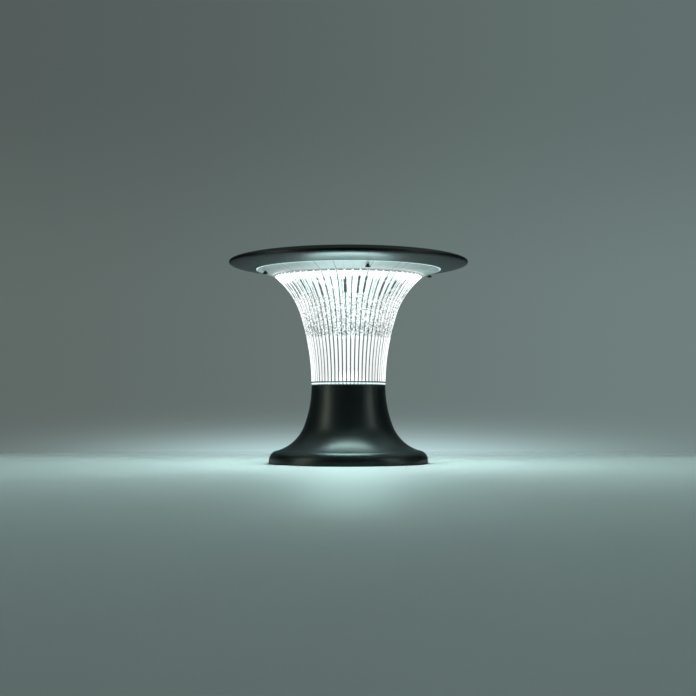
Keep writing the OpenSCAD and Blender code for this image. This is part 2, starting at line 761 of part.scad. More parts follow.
// Cells in two columns of rows, cut to the round field
module solar_cells() {
    pitch = 2 * cell_field_r / cell_rows;
    color("#101a33") translate([0, 0, back_z + back_t]) linear_extrude(cell_t)
        for (i = [0:cell_rows - 1], side = [-1, 1]) intersection() {
            circle(cell_field_r, $fn = fine);
            translate([side > 0 ? cell_gap / 2 : -cell_field_r, -cell_field_r + pitch * i + cell_gap / 2])
                square([cell_field_r - cell_gap / 2, pitch - cell_gap]);
        }
}

// Silver ribbons that run over the cells, two to a column
module cell_ribbons() {
    ends = cell_field_r * ribbon_reach;
    color("silver") translate([0, 0, back_z + back_t + cell_t]) linear_extrude(ribbon_t)
        for (x = ribbon_places * cell_field_r)
            let (half = sqrt(ends * ends - x * x))
                translate([x - ribbon_w / 2, -half]) square([ribbon_w, 2 * half]);
}

module panel_back() {
    color("#e9ecec") translate([0, 0, back_z]) cylinder(r = glass_r, h = back_t);
}

module lamp_pan() {
    color(white) difference() {
        union() {
            rotate_extrude() polygon([
                [0, pan_z], [pan_r, pan_z], [pan_r, seat_z - pan_wall], [pan_flange_r, seat_z - pan_wall],
                [pan_flange_r, seat_z], [pan_r - pan_wall, seat_z], [pan_r - pan_wall, pan_floor_z],
                [0, pan_floor_z]]);
            board_posts();
            strap_posts();
        }
        at_ring(pan_screw_count, pan_screw_ring_r)
            translate([0, 0, seat_z - pan_wall - past])
                cylinder(r = small_screw_r + screw_hole_slack, h = pan_wall + 2 * past);
        at_diffuser_screws() translate([0, 0, pan_z - past])
            cylinder(r = small_screw_r + pilot_slack, h = pan_wall + 2 * past);
    }
}

module board_posts() {
    difference() {
        at_board_posts() translate([0, 0, pan_floor_z - sunk])
            cylinder(r = board_post_r, h = board_post_h + sunk);
        at_board_posts() translate([0, 0, pan_floor_z + sunk])
            cylinder(r = small_screw_r + pilot_slack, h = board_post_h + past);
    }
}

module at_board_posts() {
    for (x = [-1, 1], y = [-1, 1])
        translate([x * board_post_x, board_offset + y * board_post_y, 0]) children();
}

// Posts beside the tray for the feet of the strap
module strap_posts() {
    difference() {
        at_strap_feet() translate([0, 0, pan_floor_z - sunk])
            cylinder(r = strap_post_r, h = tray_h + sunk);
        at_strap_feet() translate([0, 0, pan_floor_z + tray_h - strap_pilot_l])
            cylinder(r = small_screw_r + pilot_slack, h = strap_pilot_l + past);
    }
}

module at_strap_feet() {
    for (side = [-1, 1])
        translate([0, -tray_offset + side * (tray_w / 2 + strap_foot / 2), 0]) children();
}

module pan_screws() {
    color(steel) at_ring(pan_screw_count, pan_screw_ring_r) translate([0, 0, seat_z - pan_wall])
        screw_up(small_screw_r, pan_wall + cap_wall + past, small_head_r, small_head_h);
}

module lamp_board() {
    color("#dfe9e2") difference() {
        translate([0, 0, lamp_board_z]) cylinder(r = lamp_board_r, h = lamp_board_t);
        at_diffuser_screws() translate([0, 0, lamp_board_z - past])
            cylinder(r = small_screw_r + screw_hole_slack, h = lamp_board_t + 2 * past);
    }
}

module lamps() {
    color("#fff6c8") {
        at_ring(outer_lamp_count, outer_lamp_ring_r) lamp();
        at_ring(inner_lamp_count, inner_lamp_ring_r) lamp();
        lamp();
    }
}

module lamp() {
    translate([-lamp_side / 2, -lamp_side / 2, lamp_z]) cube([lamp_side, lamp_side, lamp_t]);
}

module at_diffuser_screws() {
    at_ring(diffuser_screw_count, diffuser_screw_ring_r, 90) children();
}

module inner_diffuser() {
    color(clear) difference() {
        rotate_extrude() diffuser_section();
        at_diffuser_screws() translate([0, 0, diffuser_top_z - diffuser_flange_t - past])
            cylinder(r = small_screw_r + screw_hole_slack, h = diffuser_flange_t + 2 * past);
    }
}

// Half section of the cup: straight wall, round lower edge, closed foot and flange at the top
module diffuser_section() {
    inner_round = diffuser_round - diffuser_wall;
    difference() {
        union() {
            translate([0, diffuser_z]) square([diffuser_r - diffuser_round, diffuser_l]);
            translate([0, diffuser_z + diffuser_round]) square([diffuser_r, diffuser_l - diffuser_round]);
            translate([0, diffuser_top_z - diffuser_flange_t])
                square([diffuser_r + diffuser_flange_w, diffuser_flange_t]);
            translate([diffuser_r - diffuser_round, diffuser_z + diffuser_round]) circle(diffuser_round);
        }
        translate([-eps, diffuser_z + diffuser_round])
            square([diffuser_r - diffuser_wall + eps, diffuser_l]);
        translate([-eps, diffuser_z + diffuser_wall])
            square([diffuser_r - diffuser_round + eps, diffuser_l]);
        translate([diffuser_r - diffuser_round, diffuser_z + diffuser_round]) circle(inner_round);
    }
}

module diffuser_screws() {
    color(steel) at_diffuser_screws() translate([0, 0, diffuser_top_z - diffuser_flange_t])
        screw_up(small_screw_r, diffuser_flange_t + lamp_board_t + pan_wall, small_head_r, small_head_h);
}

module battery_tray() {
    color("#2b2d30") translate([0, -tray_offset, pan_floor_z]) difference() {
        translate([-tray_l / 2, -tray_w / 2, 0]) cube([tray_l, tray_w, tray_h]);
        for (i = [0:battery_count - 1]) translate([0, battery_y(i), 0])
            translate([-tray_l / 2 + tray_wall, -battery_d / 2, tray_floor])
                cube([tray_l - 2 * tray_wall, battery_d, tray_h]);
    }
}

function battery_y(i) = (i - (battery_count - 1) / 2) * battery_pitch;

module battery_cells() {
    color("#3f7d4d") translate([-battery_l / 2, -tray_offset, battery_z])
        for (i = [0:battery_count - 1]) translate([0, battery_y(i), 0]) rotate([0, 90, 0]) {
            cylinder(d = battery_d - battery_slack, h = battery_l);
            translate([0, 0, battery_l - eps]) cylinder(r = terminal_r, h = terminal_h);
        }
}

// A bent metal band over the cells with a foot at each side
module battery_strap() {
    top = tray_floor + battery_d + strap_t;
    half = tray_w / 2;
    color(steel) translate([-strap_w / 2, -tray_offset, pan_floor_z]) difference() {
        union() {
            translate([0, -half - strap_t, top - strap_t]) cube([strap_w, 2 * half + 2 * strap_t, strap_t]);
            for (side = [-1, 1]) {
                translate([0, side > 0 ? half : -half - strap_t, tray_h])
                    cube([strap_w, strap_t, top - tray_h]);
                translate([0, side > 0 ? half : -half - strap_foot, tray_h])
                    cube([strap_w, strap_foot, strap_t]);
            }
        }
        for (side = [-1, 1]) translate([strap_w / 2, side * (half + strap_foot / 2), 0])
            cylinder(r = small_screw_r + screw_hole_slack, h = tray_h + strap_t + past);
    }
}

module strap_screws() {
    color(steel) at_strap_feet() translate([0, 0, pan_floor_z + tray_h + strap_t])
        screw_down(small_screw_r, strap_screw_l, small_head_r, small_head_h);
}

module control_board() {
    color("#1f6b45") difference() {
        translate([-board_l / 2, board_offset - board_w / 2, board_z]) cube([board_l, board_w, board_t]);
        at_board_posts() translate([0, 0, board_z - past])
            cylinder(r = small_screw_r + screw_hole_slack, h = board_t + 2 * past);
    }
}

// Chip, coil, capacitors and three plug sockets
module board_parts() {
    color("#26282c") translate([0, board_offset, board_z + board_t]) {
        translate([-chip_side * 3 / 4, -chip_side / 2, 0]) cube([chip_side, chip_side, chip_h]);
        translate([coil_r * 2, 0, 0]) cylinder(r = coil_r, h = coil_h);
        for (y = [-1, 1] * capacitor_r * 1.2)
            translate([-capacitor_r * 5, y, 0]) cylinder(r = capacitor_r, h = capacitor_h);
        for (x = [-1, 0, 1] * socket_pitch) translate([x - socket_l / 2, board_w / 2 - socket_w - past, 0])
            cube([socket_l, socket_w, socket_h]);
    }
}

module board_screws() {
    color(steel) at_board_posts() translate([0, 0, board_z + board_t])
        screw_down(small_screw_r, board_t + board_post_h - past, small_head_r, small_head_h);
}

module switch_body() {
    color("#2a2c2f") at_button() translate([0, 0, button_seat_z]) difference() {
        translate([-switch_side / 2, -switch_side / 2, 0]) cube([switch_side, switch_side, switch_h]);
        translate([0, 0, -eps]) cylinder(r = button_collar_r + switch_gap, h = switch_room + eps);
        cylinder(r = stem_r + button_gap, h = switch_h - switch_roof);
    }
}

module push_button() {
    collar_z = button_seat_z + button_collar_gap;
    color("#141414") at_button() {
        translate([0, 0, button_pad_z - button_out])
            cylinder(r = button_r, h = collar_z - button_pad_z + button_out + eps);
        translate([0, 0, collar_z]) cylinder(r = button_collar_r, h = button_collar_h);
        translate([0, 0, collar_z + button_collar_h - eps]) cylinder(r = stem_r, h = stem_l + eps);
    }
}

base_shell();
mounting_plate();
plate_screws();
foot_gasket();
lens();
neck_seal();
neck_reflector();
flange_gasket();
cap_soffit();
cap_crown();
rim_gasket();
flange_screws();
glass_seal();
cover_glass();
solar_cells();
cell_ribbons();
panel_back();
lamp_pan();
pan_screws();
lamp_board();
lamps();
inner_diffuser();
diffuser_screws();
battery_tray();
battery_cells();
battery_strap();
strap_screws();
control_board();
board_parts();
board_screws();
switch_body();
push_button();
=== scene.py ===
from math import acos, asin, atan2, cos, degrees, pi, radians, sin, sqrt, tan

import bmesh
import bpy
from mathutils import Matrix, Vector


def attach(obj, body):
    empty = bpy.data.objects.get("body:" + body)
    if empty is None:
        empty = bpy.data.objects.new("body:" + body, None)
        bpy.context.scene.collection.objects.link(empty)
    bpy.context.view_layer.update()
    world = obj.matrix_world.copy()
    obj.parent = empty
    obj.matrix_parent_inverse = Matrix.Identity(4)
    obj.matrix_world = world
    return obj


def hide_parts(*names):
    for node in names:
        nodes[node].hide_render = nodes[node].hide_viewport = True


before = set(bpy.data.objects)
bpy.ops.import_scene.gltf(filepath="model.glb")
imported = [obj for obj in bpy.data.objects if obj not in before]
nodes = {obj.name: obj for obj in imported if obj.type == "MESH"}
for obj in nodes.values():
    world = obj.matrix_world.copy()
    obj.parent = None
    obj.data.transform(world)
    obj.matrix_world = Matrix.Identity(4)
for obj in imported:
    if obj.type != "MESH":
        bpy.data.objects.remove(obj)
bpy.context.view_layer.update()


# Pale floor, dim grey-green studio and soft lights. The camera stands low in front, 57 mm over the
# floor, and looks a little up at the cap.
class Wire:
    """One output of a node. Sums of wires and numbers add the Math nodes that they need."""

    def __init__(self, tree, socket):
        self.tree, self.socket = tree, socket

    def maths(self, operation, *values):
        return self.tree.node("ShaderNodeMath", {"operation": operation}, dict(enumerate(values)))

    def __add__(self, other):
        return self.maths("ADD", self, other)

    def __sub__(self, other):
        return self.maths("SUBTRACT", self, other)

    def __rsub__(self, other):
        return self.maths("SUBTRACT", other, self)

    def __mul__(self, other):
        return self.maths("MULTIPLY", self, other)

    def __truediv__(self, other):
        return self.maths("DIVIDE", self, other)

    def __pow__(self, other):
        return self.maths("POWER", self, other)

    __radd__, __rmul__ = __add__, __mul__

    def one(self, operation):
        """A Math node of one value, such as SINE or FLOOR."""
        return self.maths(operation, self)

    def above(self, low, high):
        """A soft step: 0 under low and 1 over high, or the other way round where low is the greater."""
        if low > high:
            return 1 - self.above(high, low)
        return self.tree.node("ShaderNodeMapRange", {"interpolation_type": "SMOOTHSTEP"},
                              {"Value": self, "From Min": low, "From Max": high})

    def out(self, name):
        return Wire(self.tree, self.socket.node.outputs[name])


class Tree:
    """The nodes of a finish, a light or a shape."""

    def __init__(self, made):
        self.made = made

    def node(self, kind, settings=None, inputs=None, out=0):
        new = self.made.nodes.new(kind)
        for name, value in (settings or {}).items():
            if name == "stops":
                ramp = new.color_ramp.elements
                while len(ramp) < len(value):
                    ramp.new(0.5)
                for stop, (place, colour) in zip(ramp, value):
                    stop.position, stop.color = place, colour
            else:
                setattr(new, name, value)
        for name, value in (inputs or {}).items():
            if isinstance(value, Wire):
                self.made.links.new(value.socket, new.inputs[name])
            else:
                new.inputs[name].default_value = value
        return Wire(self, new.outputs[out])

    def where(self):
        return self.node("ShaderNodeTexCoord", out="Object")

    def axes(self):
        """The object coordinates apart, as the outputs X, Y and Z of one node, in metres."""
        return self.node("ShaderNodeSeparateXYZ", None, {0: self.where()})

    def grain(self, scale, detail=2.0, rough=0.5, where=None, stretch=None):
        where = where or self.where()
        if stretch:
            where = self.node("ShaderNodeMapping", None, {"Vector": where, "Scale": stretch})
        return self.node("ShaderNodeTexNoise", None,
                         {"Vector": where, "Scale": scale, "Detail": detail, "Roughness": rough})

    def blend(self, share, first, second):
        """Colour between two colours."""
        return self.node("ShaderNodeMix", {"data_type": "RGBA"}, {0: share, 6: first, 7: second}, out=2)

    def dents(self, height, strength, depth):
        """Bump of a height from 0 to 1, with its depth in millimetres."""
        return self.node("ShaderNodeBump", None,
                         {"Strength": strength, "Distance": depth / 1000, "Height": height})

    def veiled(self, share, shader):
        """A shader that this share makes clear."""
        clear = self.node("ShaderNodeBsdfTransparent")
        return self.node("ShaderNodeMixShader", None, {0: share, 1: shader, 2: clear})

    def close(self, shader, kind="ShaderNodeOutputMaterial"):
        """Leads a shader to the output of the tree."""
        end = self.made.nodes.new(kind)
        self.made.links.new(shader.socket, end.inputs["Surface"])


def finish(name):
    """A new material and its empty tree."""
    material = bpy.data.materials.new(name)
    material.use_nodes = True
    material.node_tree.nodes.clear()
    return material, Tree(material.node_tree)


def cover(tree, sockets):
    """Closes a finish with one shader of these inputs."""
    tree.close(tree.node("ShaderNodeBsdfPrincipled", None, sockets))


def rgb(r, g, b):
    return (r, g, b, 1.0)


def placed(name, data):
    """A new object in the scene."""
    thing = bpy.data.objects.new(name, data)
    bpy.context.scene.collection.objects.link(thing)
    return thing


# The floor, which turns clear far from the lamp and behind it, so that the glow of the studio shows.
# Distances are in metres.
floor_half = 6.0
floor_mesh = bpy.data.meshes.new("floor")
floor_mesh.from_pydata([(-floor_half, -floor_half, 0), (floor_half, -floor_half, 0),
                        (floor_half, floor_half, 0), (-floor_half, floor_half, 0)], [], [(0, 1, 2, 3)])
floor = placed("floor", floor_mesh)
floor_finish, tree = finish("pale_floor")
far = tree.node("ShaderNodeVectorMath", {"operation": "LENGTH"}, {0: tree.where()}, out="Value")
gone = 1 - (1 - far.above(0.45, 2.6)) * (1 - tree.axes().out("Y").above(0.10, 0.45))
mottle = tree.grain(3.0, 3.0)
pale = tree.node("ShaderNodeBsdfPrincipled", None, {
    "Base Color": tree.blend(mottle, rgb(0.50, 0.57, 0.56), rgb(0.54, 0.61, 0.60)),
    "Roughness": 0.60 + 0.40 * far.above(0.60, 1.0), "Specular IOR Level": 0.11})
tree.close(tree.veiled(gone, pale))
floor_mesh.materials.append(floor_finish)

# The studio, dim grey-green and a little lighter to the right, with a glow low behind the lamp. What
# the camera sees stays plain all round. Reflections get light from the front half and from above.
studio = bpy.data.worlds.new("studio")
bpy.context.scene.world = studio
studio.use_nodes = True
studio.node_tree.nodes.clear()
tree = Tree(studio.node_tree)
axes = tree.node("ShaderNodeSeparateXYZ", None, {0: tree.node("ShaderNodeTexCoord", out="Generated")})
left_right, rise = axes.out("X"), axes.out("Z")
off_middle = left_right.one("ABSOLUTE")
tone = tree.blend(left_right.above(-0.28, 0.28), rgb(0.116, 0.144, 0.136), rgb(0.160, 0.215, 0.208))
low = ((rise + 0.040) / 0.019) ** 2.0 * -1.0
wide = (left_right / 0.16) ** 2.0 * -1.0
halo = (low + wide).one("EXPONENT") * rise.above(0.06, 0.03)
tone = tree.blend(halo, tone, rgb(0.64, 0.88, 0.90))
path = tree.node("ShaderNodeLightPath", out="Is Camera Ray")
front = axes.out("Y").above(-0.1, 0.6)
around = (0.03 + 0.97 * front) * (1 - 0.88 * off_middle.above(0.30, 0.60))
dim = (1 - 0.25 * rise.above(0.07, 0.24) - 0.6 * rise.above(0.29, 0.42)) * (path + (1 - path) * around)
sky = rise.above(0.45, 0.85) * (0.6 + 1.4 * front) * (0.3 + 1.7 * off_middle.above(0.05, 0.50))
dim = dim + sky * path.out("Is Glossy Ray")
tree.close(tree.node("ShaderNodeBackground", None, {"Color": tone, "Strength": dim}),
           "ShaderNodeOutputWorld")


def soft_light(name, place, aim, width, length, watts, colour=(0.9, 1.0, 0.98)):
    """A rectangular soft light that looks from one point at another, in metres."""
    lamp = bpy.data.lights.new(name, "AREA")
    lamp.shape, lamp.size, lamp.size_y = "RECTANGLE", width, length
    lamp.energy, lamp.color = watts, colour
    box = placed(name, lamp)
    box.location = place
    box.rotation_euler = (Vector(aim) - Vector(place)).to_track_quat("-Z", "Y").to_euler()
    return box


# The two strip lights draw the soft streaks on the dark paint and leave the floor alone.
soft_light("overhead_light", (0, 0.2, 2.4), (0, 0, 0), 1.6, 1.6, 2.5)
left_light = soft_light("left_light", (-1.20, -0.48, 0.50), (0, 0, 0.1), 0.26, 1.0, 3.6, (0.86, 1.0, 0.80))
right_light = soft_light("right_light", (1.18, -0.50, 0.50), (0, 0, 0.1), 0.26, 0.9, 2.4, (0.82, 1.0, 0.92))
left_light.visible_diffuse = right_light.visible_diffuse = False

# The light that the lens throws on the floor, even over its pool.
pool_lamp = bpy.data.lights.new("pool_light", "POINT")
pool_lamp.energy, pool_lamp.shadow_soft_size, pool_lamp.color = 1.3, 0.025, (0.80, 1.0, 0.99)
pool = placed("pool_light", pool_lamp)
pool.location = (0, 0, 0.150)
pool.visible_glossy = pool.visible_transmission = pool.visible_camera = False
pool_lamp.use_nodes = True
pool_lamp.node_tree.nodes.clear()
tree = Tree(pool_lamp.node_tree)
falling = tree.node("ShaderNodeLightFalloff", None, {"Strength": 46.0, "Smooth": 0.0}, out="Constant")
tree.close(tree.node("ShaderNodeEmission", None, {"Strength": falling + 0.05 * falling.out("Linear")}),
           "ShaderNodeOutputLight")

camera_back, camera_height, camera_tilt = 1.420, 0.0567, 2.57
camera = placed("camera", bpy.data.cameras.new("camera"))
camera.location = (0, -camera_back, camera_height)
camera.rotation_euler = (radians(90 + camera_tilt), 0, 0)
camera.data.sensor_width = 36
camera.data.lens = 70.2
camera.data.shift_x = -0.0007
camera.data.clip_end = 100
bpy.context.scene.camera = camera
bpy.context.scene.view_settings.view_transform = "Standard"
bpy.context.scene.cycles.use_denoising = True


# Base: one aluminium casting, a thin trumpet with a thick rounded foot and a straight bored neck, in
# dark green-black satin powder paint. Three lugs in the bore hold the skirt of the lens.
def arc(centre, r, start, end, steps):
    """Points on an arc between two directions in degrees, both ends included."""
    turns = [start + (end - start) * i / steps for i in range(steps + 1)]
    return [(centre[0] + r * cos(radians(a)), centre[1] + r * sin(radians(a))) for a in turns]


def eased(corners, steps=4):
    """An outline of (radius, height, easing) whose corners are rounded by their easing. One more point
    on each side of a rounding keeps the flat faces beside it flat to the light."""
    outline = []
    for i, (r, z, ease) in enumerate(corners):
        corner = Vector((r, z))
        if not ease:
            outline.append((r, z))
            continue
        before = Vector(corners[i - 1][:2]) - corner
        after = Vector(corners[(i + 1) % len(corners)][:2]) - corner
        half = before.angle(after) / 2
        length = ease / tan(half)
        guards = [max(0.0, min(0.3, 0.2 * (side.length - length))) for side in (before, after)]
        before.normalize()
        after.normalize()
        centre = corner + (before + after).normalized() * (ease / sin(half))
        first, last = corner + before * length - centre, corner + after * length - centre
        start = atan2(first.y, first.x)
        turn = (atan2(last.y, last.x) - start + pi) % (2 * pi) - pi
        outline.append(tuple(corner + before * (length + guards[0])))
        outline += arc(centre, ease, degrees(start), degrees(start + turn), steps)
        outline.append(tuple(corner + after * (length + guards[1])))
    return outline


def drop_repeats(outline):
    return [p for i, p in enumerate(outline) if (Vector(p) - Vector(outline[i - 1])).length > 0.004]


def spun(r, a, z):
    """The point at this radius, angle in radians and height, in metres."""
    return (r * cos(a) / 1000, r * sin(a) / 1000, z / 1000)


def mesh_of(form, name, sharp=None):
    """The mesh of a form, with its faces outwards, smooth but for edges sharper than an angle in degrees."""
    bmesh.ops.recalc_face_normals(form, faces=form.faces)
    mesh = bpy.data.meshes.new(name)
    form.to_mesh(mesh)
    form.free()
    if sharp:
        mesh.shade_smooth()
        mesh.set_sharp_from_angle(angle=radians(sharp))
    return mesh


def turned(name, parts, steps=256, sharp=32):
    """A piece of closed outlines of (radius, height) turned about the axis, each all the way round or
    between two directions: parts holds outlines, or (outline, start, end) in degrees."""
    form = bmesh.new()
    for part in parts:
        outline, start, end = part if isinstance(part, tuple) else (part, 0, 360)
        outline = drop_repeats(outline)
        whole = end - start >= 360
        count = max(3, round(steps * (end - start) / 360))
        rows = []
        for i in range(count if whole else count + 1):
            a = radians(start + (end - start) * i / count)
            rows.append([form.verts.new(spun(r, a, z)) for r, z in outline])
        for i in range(count):
            row, other = rows[i], rows[(i + 1) % len(rows)]
            for k in range(len(outline)):
                m = (k + 1) % len(outline)
                form.faces.new((row[k], other[k], other[m], row[m]))
        if not whole:
            form.faces.new(rows[0])
            form.faces.new(rows[-1][::-1])
    bmesh.ops.remove_doubles(form, verts=form.verts, dist=1e-6)
    return placed(name, mesh_of(form, name, sharp))


def fit(piece, material, body, slot, *stood_for):
    """Gives a piece its finish and its body, and lets it stand for its CAD nodes."""
    piece.data.materials.clear()
    piece.data.materials.append(material)
    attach(piece, body)
    if stood_for:
        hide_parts(*stood_for)
    return piece


def dress(node, material):
    """Gives a CAD node its finish."""
    for place in nodes[node].material_slots:
        place.material = material


def unit(v):
    return v / v.length


def tangent_radius(p, c, q):
    """Radius of the arc that leaves p along the bend about c and ends at q."""
    return (q - p).length ** 2 / (2 * unit(c - p).dot(q - p))


base_r, base_h, neck_r = 83.0, 81.5, 38.6
bend_1, bend_1_turn = 120.0, 20.4
bend_centre_1 = Vector((neck_r + bend_1, base_h))
bend_joint = bend_centre_1 - bend_1 * Vector((cos(radians(bend_1_turn)), sin(radians(bend_1_turn))))
foot_round, foot_z, crease_turn = 10.3, 3.3, 5
foot_centre = Vector((base_r - foot_round, foot_z))
crease = foot_centre + foot_round * Vector((sin(radians(crease_turn)), cos(radians(crease_turn))))
bend_2 = tangent_radius(bend_joint, bend_centre_1, crease)
bend_centre_2 = bend_joint + bend_2 * unit(bend_centre_1 - bend_joint)
bend_2_turn = degrees(acos((bend_centre_2.x - crease.x) / bend_2))
base_wall, bore_r, bore_z, ledge_z, ledge_r = 3.0, 35.4, 62.5, 4.5, 63.0
plate_room_r, groove_r, groove_d = 70.3, 72.8, 2.0
groove_end_r = groove_r + 5.0
hollow_turn = degrees(acos((bend_centre_2.x - ledge_r) / (bend_2 + base_wall)))
bore_turn = degrees(asin((base_h - bore_z) / (bend_1 + base_wall)))
base_outline = (
    arc(bend_centre_1, bend_1, 180, 180 + bend_1_turn, 20)
    + arc(bend_centre_2, bend_2, 180 + bend_1_turn, 180 + bend_2_turn, 24)
    + arc(foot_centre, foot_round, 90 - crease_turn, 0, 18)
    + eased([(base_r, foot_z, 0), (base_r, 0, 0.3), (groove_end_r, 0, 0), (groove_end_r, groove_d, 0),
             (groove_r, groove_d, 0), (groove_r, 0, 0), (plate_room_r, 0, 0), (plate_room_r, ledge_z, 0),
             (ledge_r, ledge_z, 0)])[1:]
    + arc(bend_centre_2, bend_2 + base_wall, 180 + hollow_turn, 180 + bend_1_turn, 18)
    + arc(bend_centre_1, bend_1 + base_wall, 180 + bend_1_turn, 180 + bore_turn, 10)
    + [(bore_r, bore_z), (bore_r, base_h)])
lug_z, lug_h, lug_turn, lug_r = 68.5, 3.0, 12.0, 32.85
lug_top_z, lug_root_r = lug_z + lug_h, bore_r + 0.8
lug_outline = [(lug_r, lug_z), (lug_root_r, lug_z), (lug_root_r, lug_top_z), (lug_r, lug_top_z)]
lugs = [(lug_outline, 120 * i, 120 * i + lug_turn) for i in range(3)]
base = turned("base_casting", [base_outline] + lugs, 288)

base_paint, tree = finish("green_black_powder_paint")
peel = tree.grain(900.0, 2.0)
cloud = tree.grain(28.0, 3.0)
specks = tree.grain(2600.0, 1.0).above(0.68, 0.78)
tint = tree.blend(cloud, rgb(0.0030, 0.0095, 0.0100), rgb(0.0050, 0.0130, 0.0130))
tint = tree.blend(specks * 0.12, tint, rgb(0.03, 0.04, 0.036))
cover(tree, {"Base Color": tint, "Roughness": 0.34 + 0.08 * cloud, "Specular IOR Level": 0.5,
             "Normal": tree.dents(peel, 0.25, 0.04)})
fit(base, base_paint, "base", "base_paint", "base_shell")


# Mounting plate of zinc-plated steel with its three screws, and the foam ring under the foot. The
# plate is screwed to the wall, and the base to the plate.
zinc, tree = finish("zinc_plated_steel")
spangle = tree.node("ShaderNodeTexVoronoi", None, {"Vector": tree.where(), "Scale": 160.0}, out="Color")
spangle = tree.node("ShaderNodeSeparateColor", None, {0: spangle})
scratch = tree.grain(120.0, 4.0, stretch=(1.0, 14.0, 1.0))
cover(tree, {"Base Color": tree.blend(spangle, rgb(0.44, 0.46, 0.47), rgb(0.60, 0.61, 0.62)),
             "Metallic": 1.0, "Roughness": 0.30 + 0.16 * scratch, "Normal": tree.dents(scratch, 0.2, 0.03)})
dress("mounting_plate", zinc)

foam, tree = finish("foam_rubber")
cells = tree.node("ShaderNodeTexVoronoi", None, {"Vector": tree.where(), "Scale": 1800.0})
cover(tree, {"Base Color": tree.blend(cells, rgb(0.012, 0.012, 0.013), rgb(0.035, 0.035, 0.036)),
             "Roughness": 0.9, "Normal": tree.dents(cells, 0.6, 0.15)})
dress("foot_gasket", foam)


def shape_tree(name, inputs):
    """A Geometry Nodes tree with named inputs, and the wires of those inputs by name."""
    made = bpy.data.node_groups.new(name, "GeometryNodeTree")
    made.interface.new_socket("Geometry", in_out="INPUT", socket_type="NodeSocketGeometry")
    for label, (kind, value) in inputs.items():
        socket = made.interface.new_socket(label, in_out="INPUT", socket_type=kind)
        if value is not None:
            socket.default_value = value
    made.interface.new_socket("Geometry", in_out="OUTPUT", socket_type="NodeSocketGeometry")
    tree = Tree(made)
    start = tree.node("NodeGroupInput")
    return tree, {label: start.out(label) for label in ["Geometry", *inputs]}


def shaped(piece, tree, shape, values):
    """Runs a tree on a piece with these inputs and keeps the result as its plain mesh."""
    end = tree.made.nodes.new("NodeGroupOutput")
    tree.made.links.new(shape.socket, end.inputs[0])
    modifier = piece.modifiers.new(tree.made.name, "NODES")
    modifier.node_group = tree.made
    for item in tree.made.interface.items_tree:
        if item.in_out == "INPUT" and item.name in values:
            modifier[item.identifier] = values[item.name]
    bpy.context.view_layer.update()
    seen = piece.evaluated_get(bpy.context.evaluated_depsgraph_get())
    mesh = bpy.data.meshes.new_from_object(seen, preserve_all_data_layers=True,
                                           depsgraph=bpy.context.evaluated_depsgraph_get())
    piece.modifiers.clear()
    piece.data = mesh
    return piece


def screw_model(name, shank_r, shank_l, head_r, head_h):
    """One screw with a domed head under z = 0 and its shank up from there, with a six-sided socket. The
    third value of a point of its outline says whether it lies on the socket."""
    socket_r, socket_d = head_r * 0.46, head_h * 0.62
    outline = (
        [(0, -head_h + socket_d, 0), (socket_r, -head_h + socket_d, 1), (socket_r, -head_h + 0.12, 1)]
        + [(socket_r * 1.16, -head_h, 0)]
        + [(head_r * (0.62 + 0.38 * sin(radians(a))), -head_h * (0.28 + 0.72 * cos(radians(a))), 0)
           for a in range(0, 91, 18)]
        + [(head_r, 0, 0), (shank_r, 0, 0)])
    turns = max(3, int(shank_l / 0.5))
    for i in range(turns):
        z = shank_l * i / turns
        outline += [(shank_r, z + 0.02, 0), (shank_r * 0.86, z + shank_l / turns * 0.5, 0)]
    outline += [(shank_r * 0.7, shank_l, 0), (0, shank_l, 0)]
    form, steps, rows = bmesh.new(), 24, []
    for i in range(steps):
        a = 2 * pi * i / steps
        flat = cos(pi / 6) / cos((a + pi / 6) % (pi / 3) - pi / 6)
        rows.append([form.verts.new(spun(r * flat if six else r, a, z)) for r, z, six in outline])
    for i in range(steps):
        row, other = rows[i], rows[(i + 1) % steps]
        for k in range(len(outline) - 1):
            form.faces.new((row[k], other[k], other[k + 1], row[k + 1]))
    bmesh.ops.remove_doubles(form, verts=form.verts, dist=1e-7)
    return bpy.data.objects.new(name, mesh_of(form, name, 38))


def set_out(name, model, places, material, seed, upside_down=False, free_turn=True):
    """Copies of one small model at these places in millimetres, each turned by chance."""
    tree, given = shape_tree("set_out_" + name, {
        "Model": ("NodeSocketObject", None), "Seed": ("NodeSocketInt", 1),
        "Most turn": ("NodeSocketFloat", 2 * pi), "Tip": ("NodeSocketFloat", 0.0),
        "Material": ("NodeSocketMaterial", None)})
    chance = tree.node("FunctionNodeRandomValue", {"data_type": "FLOAT"},
                       {2: 0.0, 3: given["Most turn"], "Seed": given["Seed"]}, out=1)
    turn = tree.node("ShaderNodeCombineXYZ", None, {0: given["Tip"], 2: chance})
    turn = tree.node("FunctionNodeEulerToRotation", None, {0: turn})
    copies = tree.node("GeometryNodeInstanceOnPoints", None, {
        "Points": given["Geometry"], "Rotation": turn,
        "Instance": tree.node("GeometryNodeObjectInfo", None, {"Object": given["Model"]}, out="Geometry")})
    real = tree.node("GeometryNodeRealizeInstances", None, {"Geometry": copies})
    real = tree.node("GeometryNodeSetMaterial", None, {"Geometry": real, "Material": given["Material"]})
    mesh = bpy.data.meshes.new(name)
    mesh.from_pydata([(x / 1000, y / 1000, z / 1000) for x, y, z in places], [], [])
    return shaped(placed(name, mesh), tree, real, {
        "Model": model, "Seed": seed, "Most turn": 2 * pi if free_turn else 0.0,
        "Tip": pi if upside_down else 0.0, "Material": material})


def on_ring(count, r, z, turn=0.0):
    """Places round a ring, the first one at a turn in degrees."""
    return [(r * cos(radians(turn + 360 * i / count)), r * sin(radians(turn + 360 * i / count)), z)
            for i in range(count)]


